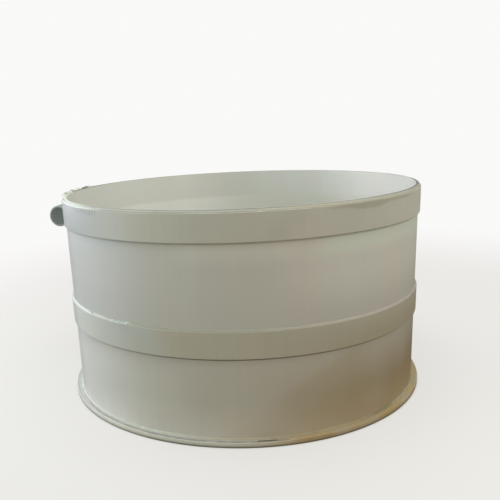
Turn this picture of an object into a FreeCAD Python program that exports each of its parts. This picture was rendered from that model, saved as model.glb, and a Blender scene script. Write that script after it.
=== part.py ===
import FreeCAD, Part
import math
import os
import re
import Sketcher

# Round open-topped vacuum filter tank, welded from polypropylene sheet.
# Origin: centre of the base plate's underside. +Z up, the front faces -Y.
# All sizes are in millimetres, all angles in degrees.
FIRST_TURN = 10  # any angle: the sheet's formula sets each piece's own

doc = FreeCAD.newDocument("vacuum_filter_tank")
sheet = doc.addObject("Spreadsheet::Sheet", "Sizes")

SIZES = {
    # tank body
    "shell_outer_radius": 750,
    "shell_thickness": 12,
    "tank_height": 850,
    "base_overhang": 28,
    "base_thickness": 20,
    "seam_angle": 5,
    # reinforcing bands
    "band_width": 100,
    "band_thickness": 8,
    "rim_band_drop": 10,
    "mid_band_bottom": 330,
    "rim_band_joint_angle": 20,
    "mid_band_joint_angle": 10,
    # weld beads and the gap left between curved faces
    "weld_leg": 8,
    "seam_weld_width": 10,
    "seam_weld_height": 2.5,
    "rim_top_weld_width": 11,
    "rim_top_weld_height": 8,
    "rim_top_weld_start": 157,
    "rim_top_weld_sweep": 34,
    "fit_gap": 0.3,
    # false bottom
    "filter_plate_top": 380,
    "filter_plate_thickness": 15,
    "ledge_width": 30,
    "ledge_thickness": 15,
    "rib_thickness": 15,
    "rib_end_gap": 8,
    "rib_angle": 45,
    "rib_notch_length": 160,
    "rib_notch_height": 60,
    "post_radius": 55,
    "post_wall": 10,
    # vacuum pipework
    "pipe_radius": 45,
    "pipe_wall": 4,
    "fitting_wall": 4,
    "socket_depth": 30,
    "fitting_reach": 80,
    "tee_barrel_extra": 1.2,
    "elbow_bend_radius": 50,
    "header_standoff": 115,
    "header_drop": 12,
    "header_angle": 168,
    "header_front": 28,
    "cap_face": 6,
    "cap_length": 45,
    "coupling_length": 90,
    "coupling_socket": 42,
    "riser_offset_angle": 17,
    "nozzle_inside": 8,
    "vacuum_pad_radius": 75,
    "vacuum_pad_clearance": 5,
    "pad_thickness": 12,
    # pipe supports
    "bracket_thickness": 15,
    "bracket_ear": 22,
    "bracket_web": 14,
    "bracket_depth": 150,
    "bracket_clearance": 10,
    "strap_thickness": 6,
    "riser_bracket_rise": 50,
    # drain nozzle at the back
    "drain_angle": 90,
    "drain_clearance": 9.5,
    "drain_pipe_radius": 31.5,
    "drain_pipe_wall": 4.5,
    "drain_reach": 110,
    "drain_pad_radius": 55,
    "flange_radius": 82.5,
    "flange_thickness": 20,
    "flange_bolt_circle": 125,
    "flange_hole_radius": 9,
    "flange_hole_count": 4,
    "flange_first_hole": 45,
}

# Sizes that follow from the ones above, as formulas in the same sheet.
DERIVED = {
    "shell_inner_radius": "shell_outer_radius - shell_thickness",
    "base_radius": "shell_outer_radius + base_overhang",
    "band_inner_radius": "shell_outer_radius + fit_gap",
    "band_outer_radius": "band_inner_radius + band_thickness",
    "rim_band_top": "tank_height - rim_band_drop",
    "rim_band_bottom": "rim_band_top - band_width",
    "mid_band_top": "mid_band_bottom + band_width",
    "weld_outer_face": "shell_outer_radius + fit_gap",
    "seam_weld_sweep": "seam_weld_width / shell_outer_radius * 180 / pi",
    "weld_inner_face": "shell_inner_radius - fit_gap",
    "filter_plate_radius": "shell_inner_radius - fit_gap",
    "filter_plate_bottom": "filter_plate_top - filter_plate_thickness",
    "ledge_bottom": "filter_plate_bottom - ledge_thickness",
    "ledge_inner_radius": "filter_plate_radius - ledge_width",
    "rib_inner": "post_radius + fit_gap",
    "rib_outer": "ledge_inner_radius - rib_end_gap",
    "rib_height": "filter_plate_bottom - base_thickness",
    "pipe_bore": "pipe_radius - pipe_wall",
    "socket_bore": "pipe_radius + fit_gap",
    "fitting_radius": "socket_bore + fitting_wall",
    "header_distance": "shell_outer_radius + header_standoff",
    "header_height": "rim_band_bottom - header_drop",
    "vacuum_nozzle_height": "mid_band_bottom - vacuum_pad_radius - vacuum_pad_clearance",
    "riser_bracket_height": "mid_band_top + riser_bracket_rise",
    "drain_height": "flange_radius + drain_clearance",
    "tee_run": "header_distance * tan(riser_offset_angle * 1 deg)",
    "riser_radius": "header_distance / cos(riser_offset_angle * 1 deg)",
    "riser_angle": "header_angle - riser_offset_angle",
    "riser_top": "header_height - fitting_reach + socket_depth",
    "riser_bottom": "vacuum_nozzle_height + fitting_reach - socket_depth",
    "front_pipe_end": "tee_run - fitting_reach + socket_depth",
    "rear_pipe_start": "tee_run + fitting_reach - socket_depth",
    "front_bracket_run": "tee_run - fitting_reach - bracket_clearance - bracket_thickness / 2",
    "rear_bracket_run": "tee_run + fitting_reach + bracket_clearance + bracket_thickness / 2",
    "coupling_start": "rear_bracket_run + bracket_thickness / 2 + bracket_clearance",
    "header_rear": "coupling_start + coupling_length",
    "nozzle_outer_end": "riser_radius - fitting_reach + socket_depth",
    "nozzle_inner_end": "shell_inner_radius - nozzle_inside",
    "pad_face": "shell_outer_radius + pad_thickness",
    "bracket_half": "fitting_radius + bracket_ear",
    "flange_face": "shell_outer_radius + drain_reach",
}


def value(name):
    return float(sheet.get(name))


row = 0
for alias, size in SIZES.items():
    row += 1
    sheet.set(f"A{row}", alias)
    sheet.set(f"B{row}", str(size))
    sheet.setAlias(f"B{row}", alias)
for alias, formula in DERIVED.items():
    row += 1
    sheet.set(f"A{row}", alias)
    sheet.set(f"B{row}", "=" + formula)
    sheet.setAlias(f"B{row}", alias)
doc.recompute()

working = doc.addObject("Spreadsheet::Sheet", "Working")
nodes = []


def bound(formula):
    """Write each size's name in a formula as a reference to the sheet."""
    return re.sub(r"[a-z]\w*_\w+", lambda match: "Sizes." + match.group(0), formula)


def number(formula):
    """Work out a formula of sizes in a spare sheet, for a feature's first shape."""
    working.set("A1", "=" + bound(formula))
    working.recompute()
    return float(working.get("A1"))


def new_body(label, turn=None):
    """Start a piece. turn is the angle about the tank's axis of its own frame."""
    body = doc.addObject("PartDesign::Body", label)
    body.Label = label
    if turn is not None:
        body.Placement = FreeCAD.Placement(FreeCAD.Vector(0, 0, 0), FreeCAD.Vector(0, 0, 1), FIRST_TURN)
        body.setExpression("Placement.Rotation.Angle", f"({bound(turn)}) * 1 deg")
    return body


def new_sketch(body, plane, offset=("0", "0", "0")):
    """A sketch on one of the piece's origin planes, moved by formulas."""
    sketch = body.newObject("Sketcher::SketchObject", "Sketch")
    role = plane + "_Plane"
    support = [f for f in body.Origin.OriginFeatures if f.Role == role][0]
    sketch.AttachmentSupport = [(support, "")]
    sketch.MapMode = "FlatFace"
    for axis, formula in zip("xyz", offset):
        if formula != "0":
            sketch.setExpression(f"AttachmentOffset.Base.{axis}", f"({bound(formula)}) * 1 mm")
    return sketch


def add_circle(sketch, radius):
    """A circle round the sketch's origin."""
    circle = Part.Circle(FreeCAD.Vector(0, 0, 0), FreeCAD.Vector(0, 0, 1), number(radius))
    index = sketch.addGeometry(circle, False)
    sketch.addConstraint(Sketcher.Constraint("Coincident", index, 3, -1, 1))
    row_number = sketch.addConstraint(Sketcher.Constraint("Radius", index, number(radius)))
    sketch.setExpression(f"Constraints[{row_number}]", f"({bound(radius)}) * 1 mm")
    return index


def add_polygon(sketch, points):
    """A closed outline whose corners are pairs of formulas."""
    spots = [FreeCAD.Vector(number(x), number(y), 0) for x, y in points]
    count = len(points)
    first = None
    for i in range(count):
        index = sketch.addGeometry(Part.LineSegment(spots[i], spots[(i + 1) % count]), False)
        first = index if first is None else first
    for i in range(count):
        following = first + (i + 1) % count
        sketch.addConstraint(Sketcher.Constraint("Coincident", first + i, 2, following, 1))
    for i, (x, y) in enumerate(points):
        for formula, kind, axis in ((x, "DistanceX", -2), (y, "DistanceY", -1)):
            if formula == "0":
                sketch.addConstraint(Sketcher.Constraint("PointOnObject", first + i, 1, axis))
                continue
            rule = Sketcher.Constraint(kind, -1, 1, first + i, 1, number(formula))
            row_number = sketch.addConstraint(rule)
            sketch.setExpression(f"Constraints[{row_number}]", f"({bound(formula)}) * 1 mm")


def add_box_outline(sketch, x_low, x_high, y_low, y_high):
    add_polygon(sketch, [(x_low, y_low), (x_high, y_low), (x_high, y_high), (x_low, y_high)])


def pad(body, sketch, length, midplane=False, backwards=False):
    feature = body.newObject("PartDesign::Pad", "Pad")
    feature.Profile = sketch
    feature.Length = number(length)
    feature.setExpression("Length", f"({bound(length)}) * 1 mm")
    if midplane:
        feature.SideType = "Symmetric"
    feature.Reversed = backwards
    sketch.Visibility = False
    doc.recompute()
    return feature


def pocket(body, sketch, length, midplane=False, backwards=True):
    """Cut along the sketch's normal, and stop if nothing was taken away."""
    before = body.Shape.Volume
    feature = body.newObject("PartDesign::Pocket", "Pocket")
    feature.Profile = sketch
    feature.Length = number(length)
    feature.setExpression("Length", f"({bound(length)}) * 1 mm")
    if midplane:
        feature.SideType = "Symmetric"
    feature.Reversed = backwards
    sketch.Visibility = False
    doc.recompute()
    if body.Shape.Volume >= before:
        raise RuntimeError("a pocket cut nothing in " + body.Label)
    return feature


def revolve(body, sketch, sweep, axis="V_Axis", backwards=False):
    feature = body.newObject("PartDesign::Revolution", "Revolution")
    feature.Profile = sketch
    feature.ReferenceAxis = (sketch, [axis])
    feature.Reversed = backwards
    feature.Angle = number(sweep)
    feature.setExpression("Angle", f"({bound(sweep)}) * 1 deg")
    sketch.Visibility = False
    doc.recompute()
    return feature


def groove(body, sketch, sweep, axis="V_Axis", backwards=False):
    """Cut by turning a sketch about an axis, and stop if nothing was taken away."""
    before = body.Shape.Volume
    feature = body.newObject("PartDesign::Groove", "Groove")
    feature.Profile = sketch
    feature.ReferenceAxis = (sketch, [axis])
    feature.Reversed = backwards
    feature.Angle = number(sweep)
    feature.setExpression("Angle", f"({bound(sweep)}) * 1 deg")
    sketch.Visibility = False
    doc.recompute()
    if body.Shape.Volume >= before:
        raise RuntimeError("a groove cut nothing in " + body.Label)
    return feature


def ring(label, points, sweep="360", turn=None):
    """A piece turned about the tank's axis from an outline of (radius, height)."""
    body = new_body(label, turn)
    sketch = new_sketch(body, "XZ")
    add_polygon(sketch, points)
    revolve(body, sketch, sweep)
    return body


def keep(piece):
    nodes.append(piece)
    return piece


def sheet_outline(inner, outer, bottom, top):
    return [(inner, bottom), (outer, bottom), (outer, top), (inner, top)]


def cut_to_shell(body):
    """Trim what a piece would leave inside the shell's outer face."""
    sketch = new_sketch(body, "XZ")
    add_box_outline(sketch, "0", "weld_outer_face", "0", "tank_height")
    groove(body, sketch, "360")


def nozzle_hole(body, turn, height, radius):
    """A tool that cuts a radial nozzle's hole through the shell."""
    drill = doc.addObject("Part::Cylinder", "Drill")
    drill.setExpression("Radius", f"({bound(radius)} + Sizes.fit_gap) * 1 mm")
    drill.setExpression("Height", "(Sizes.shell_outer_radius + Sizes.pad_thickness) * 1 mm")
    lay_down = FreeCAD.Rotation(FreeCAD.Vector(0, 1, 0), 90)
    drill.Placement = FreeCAD.Placement(FreeCAD.Vector(0, 0, 0), lay_down)
    drill.setExpression("Placement.Base.z", f"({bound(height)}) * 1 mm")
    turned = doc.addObject("Part::Compound", "TurnedDrill")
    turned.Links = [drill]
    turned.Placement = FreeCAD.Placement(FreeCAD.Vector(0, 0, 0), FreeCAD.Vector(0, 0, 1), FIRST_TURN)
    turned.setExpression("Placement.Rotation.Angle", f"({bound(turn)}) * 1 deg")
    cut = doc.addObject("Part::Cut", "Cut")
    cut.Base = body
    cut.Tool = turned
    doc.recompute()
    if cut.Shape.Volume >= body.Shape.Volume:
        raise RuntimeError("a nozzle hole cut nothing in " + body.Label)
    return cut


def compound(label, pieces):
    """Like pieces that don't touch, kept as one node."""
    group = doc.addObject("Part::Compound", label)
    group.Label = label
    group.Links = pieces
    return group


# Base plate: a flat disc that the shell stands on, wider than the shell.
base_points = [("0", "0"), ("base_radius", "0"), ("base_radius", "base_thickness"), ("0", "base_thickness")]
keep(ring("base_plate", base_points))

# Shell: two rolled sheets, butt-welded at the sides.
shell_points = sheet_outline("shell_inner_radius", "shell_outer_radius", "base_thickness", "tank_height")
front_sheet = ring("shell_front_sheet", shell_points, "180 + seam_angle + seam_angle", "180 - seam_angle")
keep(front_sheet)
rear_blank = ring("ShellRearBlank", shell_points, "180 - seam_angle - seam_angle", "seam_angle")
rear_vacuum = nozzle_hole(rear_blank, "riser_angle", "vacuum_nozzle_height", "pipe_radius")
rear_sheet = nozzle_hole(rear_vacuum, "drain_angle", "drain_height", "drain_pipe_radius")
rear_sheet.Label = "shell_rear_sheet"
keep(rear_sheet)


def seam_weld(label, seam):
    """A flat bead over a sheet joint, in the stretches that the bands leave bare."""
    stretches = (
        ("base_thickness + weld_leg + fit_gap", "mid_band_bottom"),
        ("mid_band_top + weld_leg + fit_gap", "rim_band_bottom"),
    )
    pieces = []
    for i, (low, high) in enumerate(stretches):
        outline = sheet_outline("weld_outer_face", "weld_outer_face + seam_weld_height", low, high)
        pieces.append(ring(f"{label}_{i}", outline, "seam_weld_sweep", seam + " - seam_weld_sweep / 2"))
    return compound(label, pieces)


keep(seam_weld("right_seam_weld", "seam_angle"))
keep(seam_weld("left_seam_weld", "180 - seam_angle"))


def band(name, bottom, top, joint):
    """A flat strip bent round the shell in two lengths."""
    outline = sheet_outline("band_inner_radius", "band_outer_radius", bottom, top)
    keep(ring(name + "_front", outline, f"180 + {joint} + {joint}", f"180 - {joint}"))
    keep(ring(name + "_rear", outline, f"180 - {joint} - {joint}", joint))


def outer_weld(label, height, leg):
    """A fillet bead in the corner between the shell's outside and a flat face."""
    outline = [
        ("weld_outer_face", height),
        ("weld_outer_face + " + leg, height),
        ("weld_outer_face", height + " + " + leg),
    ]
    return ring(label, outline)


band("rim_band", "rim_band_bottom", "rim_band_top", "rim_band_joint_angle")
band("mid_band", "mid_band_bottom", "mid_band_top", "mid_band_joint_angle")
keep(outer_weld("rim_band_weld", "rim_band_top", "weld_leg"))
keep(outer_weld("mid_band_weld", "mid_band_top", "weld_leg"))
keep(outer_weld("base_outer_weld", "base_thickness", "weld_leg"))

# A hand weld built up on the shell's top edge, over the rim band's left joint.
top_bead = [
    ("shell_outer_radius - rim_top_weld_width", "tank_height"),
    ("shell_outer_radius", "tank_height"),
    ("shell_outer_radius - rim_top_weld_width / 2", "tank_height + rim_top_weld_height"),
]
keep(ring("rim_top_weld", top_bead, "rim_top_weld_sweep", "rim_top_weld_start"))


def inner_weld(label, height):
    """A fillet bead in the corner between the shell's inside and a flat face."""
    outline = [
        ("weld_inner_face", height),
        ("weld_inner_face", height + " + weld_leg"),
        ("weld_inner_face - weld_leg", height),
    ]
    return ring(label, outline)


keep(inner_weld("base_inner_weld", "base_thickness"))
keep(inner_weld("filter_plate_weld", "filter_plate_top"))

# False bottom: a ledge, a centre post and four ribs carry the filter plate in quarters.
keep(ring("plate_ledge", sheet_outline(
    "ledge_inner_radius", "filter_plate_radius", "ledge_bottom", "filter_plate_bottom")))
keep(ring("centre_post", sheet_outline(
    "post_radius - post_wall", "post_radius", "base_thickness", "filter_plate_bottom")))
quarter_points = [
    ("0", "filter_plate_bottom"),
    ("filter_plate_radius", "filter_plate_bottom"),
    ("filter_plate_radius", "filter_plate_top"),
    ("0", "filter_plate_top"),
]
for i, side in enumerate(("rear", "left", "front", "right")):
    keep(ring("filter_plate_" + side, quarter_points, "90", f"rib_angle + {90 * i}"))


def support_rib(label, turn):
    """A board on edge from the post towards the shell, with a drain notch at its foot."""
    body = new_body(label, turn)
    outline = new_sketch(body, "XZ", ("rib_inner", "base_thickness", "0"))
    add_box_outline(outline, "0", "rib_outer - rib_inner", "0", "rib_height")
    pad(body, outline, "rib_thickness", midplane=True)
    notch = new_sketch(body, "XZ", ("rib_inner", "base_thickness", "0"))
    add_box_outline(
        notch,
        "rib_outer / 2 - rib_inner / 2 - rib_notch_length / 2",
        "rib_outer / 2 - rib_inner / 2 + rib_notch_length / 2",
        "0",
        "rib_notch_height",
    )
    pocket(body, notch, "rib_thickness * 2", midplane=True)
    return body


for i, side in enumerate(("rear_right", "rear_left", "front_left", "front_right")):
    keep(support_rib("support_rib_" + side, f"rib_angle + {90 * i}"))


def tube(body, plane, offset, outer, inner, length):
    """A straight pipe along a plane's normal."""
    sketch = new_sketch(body, plane, offset)
    add_circle(sketch, outer)
    add_circle(sketch, inner)
    pad(body, sketch, length)


def rod(body, plane, offset, radius, length, backwards=False):
    sketch = new_sketch(body, plane, offset)
    add_circle(sketch, radius)
    pad(body, sketch, length, backwards=backwards)


def bore(body, plane, offset, radius, length, backwards=True):
    sketch = new_sketch(body, plane, offset)
    add_circle(sketch, radius)
    pocket(body, sketch, length, backwards=backwards)


# Vacuum header: a level pipe beside the rim band. In its own frame it runs along -Y
# at header_distance from the tank's axis.
def header_spot(run):
    return ("header_distance", "header_height", run)


front_pipe = new_body("header_front_pipe", "header_angle")
tube(front_pipe, "XZ", header_spot("cap_face - header_front"), "pipe_radius", "pipe_bore",
     "front_pipe_end + header_front - cap_face")
keep(front_pipe)

rear_pipe = new_body("header_rear_pipe", "header_angle")
tube(rear_pipe, "XZ", header_spot("rear_pipe_start"), "pipe_radius", "pipe_bore",
     "coupling_start + coupling_socket - rear_pipe_start")
keep(rear_pipe)

cap = new_body("header_end_cap", "header_angle")
rod(cap, "XZ", header_spot("0 - header_front"), "fitting_radius", "cap_length")
bore(cap, "XZ", header_spot("cap_face - header_front"), "socket_bore", "cap_length")
keep(cap)

coupling = new_body("header_coupling", "header_angle")
tube(coupling, "XZ", header_spot("coupling_start"), "fitting_radius", "pipe_bore",
     "coupling_length")
bore(coupling, "XZ", header_spot("coupling_start"), "socket_bore", "coupling_socket")
bore(coupling, "XZ", header_spot("header_rear - coupling_socket"), "socket_bore", "coupling_socket")
keep(coupling)

tee = new_body("vacuum_tee", "header_angle")
rod(tee, "XZ", header_spot("tee_run - fitting_reach"), "fitting_radius + tee_barrel_extra",
    "fitting_reach * 2")
rod(tee, "XY", ("header_distance", "0 - tee_run", "header_height"), "fitting_radius", "fitting_reach",
    backwards=True)
bore(tee, "XZ", header_spot("tee_run - fitting_reach"), "pipe_bore", "fitting_reach * 2")
bore(tee, "XZ", header_spot("tee_run - fitting_reach"), "socket_bore", "socket_depth")
bore(tee, "XZ", header_spot("tee_run + fitting_reach - socket_depth"), "socket_bore", "socket_depth")
bore(tee, "XY", ("header_distance", "0 - tee_run", "header_height"), "pipe_bore - tee_barrel_extra",
     "fitting_reach", backwards=False)
bore(tee, "XY", ("header_distance", "0 - tee_run", "riser_top"), "socket_bore", "socket_depth",
     backwards=False)
keep(tee)

# Riser: a standing pipe from the elbow at the nozzle up to the tee.
# Its frame is turned so that X runs out from the tank's axis through the pipe.
riser = new_body("vacuum_riser", "riser_angle")
tube(riser, "XY", ("riser_radius", "0", "riser_bottom"), "pipe_radius", "pipe_bore",
     "riser_top - riser_bottom")
keep(riser)


def bend(body, radius, cutting):
    """A quarter turn from the riser's line to the nozzle's line."""
    height = "vacuum_nozzle_height + elbow_bend_radius"
    sketch = new_sketch(body, "XY", ("riser_radius", "0", height))
    add_circle(sketch, radius)
    reach = value("elbow_bend_radius")
    low = FreeCAD.Vector(-reach, -reach, 0)
    high = FreeCAD.Vector(-reach, reach, 0)
    line = sketch.addGeometry(Part.LineSegment(low, high), True)
    sketch.addConstraint(Sketcher.Constraint("Vertical", line))
    for point, across in ((1, -1), (2, 1)):
        rule = Sketcher.Constraint("DistanceY", -1, 1, line, point, across * reach)
        sketch.addConstraint(rule)
    rule = Sketcher.Constraint("DistanceX", line, 1, -1, 1, reach)
    row_number = sketch.addConstraint(rule)
    sketch.setExpression(f"Constraints[{row_number}]", "Sizes.elbow_bend_radius * 1 mm")
    if cutting:
        groove(body, sketch, "90", "Axis0")
    else:
        revolve(body, sketch, "90", "Axis0")


elbow = new_body("vacuum_elbow", "riser_angle")
bend(elbow, "fitting_radius", False)
rod(elbow, "XY", ("riser_radius", "0", "vacuum_nozzle_height + elbow_bend_radius"),
    "fitting_radius", "fitting_reach - elbow_bend_radius")
rod(elbow, "YZ", ("0", "vacuum_nozzle_height", "riser_radius - fitting_reach"),
    "fitting_radius", "fitting_reach - elbow_bend_radius")
bend(elbow, "pipe_bore", True)
bore(elbow, "XY", ("riser_radius", "0", "vacuum_nozzle_height + elbow_bend_radius"), "pipe_bore",
     "fitting_reach - elbow_bend_radius")
bore(elbow, "YZ", ("0", "vacuum_nozzle_height", "riser_radius - fitting_reach"), "pipe_bore",
     "fitting_reach - elbow_bend_radius")
bore(elbow, "XY", ("riser_radius", "0", "riser_bottom"), "socket_bore", "socket_depth")
bore(elbow, "YZ", ("0", "vacuum_nozzle_height", "riser_radius - fitting_reach"),
     "socket_bore", "socket_depth")
keep(elbow)

vacuum_nozzle = new_body("vacuum_nozzle", "riser_angle")
tube(vacuum_nozzle, "YZ", ("0", "vacuum_nozzle_height", "nozzle_inner_end"), "pipe_radius",
     "pipe_bore", "nozzle_outer_end - nozzle_inner_end")
keep(vacuum_nozzle)


def wall_pad(label, turn, height, radius, pipe):
    """A flat-faced disc round a nozzle, hollowed to sit on the shell."""
    body = new_body(label, turn)
    tube(body, "YZ", ("0", height, "shell_inner_radius"), radius, pipe + " + fit_gap",
         "pad_face - shell_inner_radius")
    cut_to_shell(body)
    return body


keep(wall_pad("vacuum_nozzle_pad", "riser_angle", "vacuum_nozzle_height", "vacuum_pad_radius",
              "pipe_radius"))


def header_bracket(label, run):
    """A gusset on the shell with a cradle for the header pipe in its top edge."""
    body = new_body(label, "header_angle")
    start = "shell_outer_radius / 2"
    sketch = new_sketch(body, "XZ", ("0", "0", run))
    add_polygon(sketch, [
        (start, "header_height"),
        (start, "header_height - bracket_depth"),
        ("shell_outer_radius", "header_height - bracket_depth"),
        ("header_distance + bracket_half", "header_height - fitting_radius - bracket_web"),
        ("header_distance + bracket_half", "header_height"),
    ])
    pad(body, sketch, "bracket_thickness", midplane=True)
    notch = new_sketch(body, "XZ", header_spot(run))
    add_circle(notch, "socket_bore")
    pocket(body, notch, "bracket_thickness * 2", midplane=True)
    cut_to_shell(body)
    return body


def header_strap(label, run):
    """A half ring with two flat ears that holds the pipe down on its bracket."""
    body = new_body(label, "header_angle")
    ears = new_sketch(body, "XZ", ("0", "header_height", run))
    add_box_outline(ears, "header_distance - bracket_half", "header_distance + bracket_half", "0",
                    "strap_thickness")
    pad(body, ears, "bracket_thickness", midplane=True)
    hoop = new_sketch(body, "XZ", header_spot(run))
    add_circle(hoop, "socket_bore + strap_thickness")
    pad(body, hoop, "bracket_thickness", midplane=True)
    hollow = new_sketch(body, "XZ", header_spot(run))
    add_circle(hollow, "socket_bore")
    pocket(body, hollow, "bracket_thickness * 2", midplane=True)
    below = new_sketch(body, "XZ", ("0", "0", run))
    add_box_outline(below, "header_distance - bracket_half", "header_distance + bracket_half",
                    "header_height - bracket_half", "header_height")
    pocket(body, below, "bracket_thickness * 2", midplane=True)
    return body


for side in ("front", "rear"):
    run = side + "_bracket_run"
    keep(header_bracket(f"header_{side}_bracket", run))
    keep(header_strap(f"header_{side}_strap", run))

# Riser support: the same pair, lying flat.
riser_bracket = new_body("riser_bracket", "riser_angle")
arm_corner = ("shell_outer_radius / 2", "0 - bracket_half", "riser_bracket_height")
arm = new_sketch(riser_bracket, "XY", arm_corner)
add_box_outline(arm, "0", "riser_radius - shell_outer_radius / 2", "0", "bracket_half * 2")
pad(riser_bracket, arm, "bracket_thickness", midplane=True)
cradle = new_sketch(riser_bracket, "XY", ("riser_radius", "0", "riser_bracket_height"))
add_circle(cradle, "socket_bore")
pocket(riser_bracket, cradle, "bracket_thickness * 2", midplane=True)
cut_to_shell(riser_bracket)
keep(riser_bracket)

riser_strap = new_body("riser_strap", "riser_angle")
ears = new_sketch(riser_strap, "XY", ("riser_radius", "0 - bracket_half", "riser_bracket_height"))
add_box_outline(ears, "0", "strap_thickness", "0", "bracket_half * 2")
pad(riser_strap, ears, "bracket_thickness", midplane=True)
hoop = new_sketch(riser_strap, "XY", ("riser_radius", "0", "riser_bracket_height"))
add_circle(hoop, "socket_bore + strap_thickness")
pad(riser_strap, hoop, "bracket_thickness", midplane=True)
hollow = new_sketch(riser_strap, "XY", ("riser_radius", "0", "riser_bracket_height"))
add_circle(hollow, "socket_bore")
pocket(riser_strap, hollow, "bracket_thickness * 2", midplane=True)
inward_corner = ("riser_radius - bracket_half", "0 - bracket_half", "riser_bracket_height")
inward = new_sketch(riser_strap, "XY", inward_corner)
add_box_outline(inward, "0", "bracket_half", "0", "bracket_half * 2")
pocket(riser_strap, inward, "bracket_thickness * 2", midplane=True)
keep(riser_strap)

# Drain: a flanged stub low at the back, out of the lower chamber.
drain_nozzle = new_body("drain_nozzle", "drain_angle")
tube(drain_nozzle, "YZ", ("0", "drain_height", "nozzle_inner_end"), "drain_pipe_radius",
     "drain_pipe_radius - drain_pipe_wall", "flange_face - nozzle_inner_end")
keep(drain_nozzle)
keep(wall_pad("drain_nozzle_pad", "drain_angle", "drain_height", "drain_pad_radius",
              "drain_pipe_radius"))

flange = new_body("drain_flange", "drain_angle")
tube(flange, "YZ", ("0", "drain_height", "flange_face - flange_thickness"), "flange_radius",
     "drain_pipe_radius + fit_gap", "flange_thickness")
hole_sketch = new_sketch(flange, "YZ", ("0", "drain_height", "flange_face - flange_thickness"))
hole_angle = math.radians(value("flange_first_hole"))
hole_direction = FreeCAD.Vector(math.cos(hole_angle), math.sin(hole_angle), 0)
hole_spot = hole_direction * (value("flange_bolt_circle") / 2)
hole = Part.Circle(hole_spot, FreeCAD.Vector(0, 0, 1), value("flange_hole_radius"))
hole_sketch.addGeometry(hole, False)
for kind, turned in (("DistanceX", "cos"), ("DistanceY", "sin")):
    amount = getattr(math, turned)(hole_angle) * value("flange_bolt_circle") / 2
    rule_row = hole_sketch.addConstraint(Sketcher.Constraint(kind, -1, 1, 0, 3, amount))
    formula = f"Sizes.flange_bolt_circle / 2 * {turned}(Sizes.flange_first_hole * 1 deg) * 1 mm"
    hole_sketch.setExpression(f"Constraints[{rule_row}]", formula)
rule_row = hole_sketch.addConstraint(Sketcher.Constraint("Radius", 0, value("flange_hole_radius")))
hole_sketch.setExpression(f"Constraints[{rule_row}]", "Sizes.flange_hole_radius * 1 mm")
hole_pocket = pocket(flange, hole_sketch, "flange_thickness")
pattern = flange.newObject("PartDesign::PolarPattern", "Holes")
pattern.Originals = [hole_pocket]
pattern.Axis = (hole_sketch, ["N_Axis"])
pattern.Angle = 360
pattern.setExpression("Occurrences", "Sizes.flange_hole_count")
flange.Tip = pattern
keep(flange)

doc.recompute()

for item in doc.Objects:
    if {"Invalid", "Error"} & set(item.State):
        raise RuntimeError("failed: " + item.Label)
for piece in nodes:
    if piece.Shape.isNull() or not piece.Shape.isValid():
        raise RuntimeError("bad shape: " + piece.Label)

os.makedirs("parts", exist_ok=True)
for piece in nodes:
    piece.Shape.exportStep(f"parts/{piece.Label}.step")
    box = piece.Shape.BoundBox
    print(f"{piece.Label:26s} solids {len(piece.Shape.Solids)} volume {piece.Shape.Volume / 1e6:9.4f} l "
          f"z {box.ZMin:7.1f} to {box.ZMax:7.1f} x {box.XMin:7.1f} to {box.XMax:7.1f} "
          f"y {box.YMin:7.1f} to {box.YMax:7.1f}")
print("nodes:", len(nodes))
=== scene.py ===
import math

import bmesh
import bpy
from mathutils import Matrix, Vector, noise


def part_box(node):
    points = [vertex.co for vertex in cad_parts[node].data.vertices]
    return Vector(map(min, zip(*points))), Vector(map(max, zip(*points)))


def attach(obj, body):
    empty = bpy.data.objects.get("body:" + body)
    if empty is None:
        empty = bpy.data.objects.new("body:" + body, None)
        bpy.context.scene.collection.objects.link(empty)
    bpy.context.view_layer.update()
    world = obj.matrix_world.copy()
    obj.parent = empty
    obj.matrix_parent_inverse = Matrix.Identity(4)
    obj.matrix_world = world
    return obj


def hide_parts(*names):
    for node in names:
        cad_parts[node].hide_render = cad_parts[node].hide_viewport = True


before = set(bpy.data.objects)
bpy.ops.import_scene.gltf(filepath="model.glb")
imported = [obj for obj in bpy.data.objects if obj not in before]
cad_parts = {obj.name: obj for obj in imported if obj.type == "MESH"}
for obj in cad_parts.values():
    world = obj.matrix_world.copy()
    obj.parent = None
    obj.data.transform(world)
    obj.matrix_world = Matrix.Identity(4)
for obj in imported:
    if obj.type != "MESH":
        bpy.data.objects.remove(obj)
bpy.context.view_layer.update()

# Base plate: one disc of polypropylene sheet, routed round, that the whole tank stands on.
# Its rim stands out past the shell to carry the foot weld and is a little dirty; painted shade and a painted
# highlight lie along its rim.
plate_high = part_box("base_plate")[1]
plate_radius = plate_high.x
plate_top = plate_high.z
plate_edge_round = 0.0018
shell_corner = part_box("shell_front_sheet")
shell_radius = -shell_corner[0].y
shell_top = shell_corner[1].z
shell_wall = 0.012
sheet_tone = (0.592, 0.580, 0.572)
stain_and_shade_tone = (0.325, 0.225, 0.105)


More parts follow.
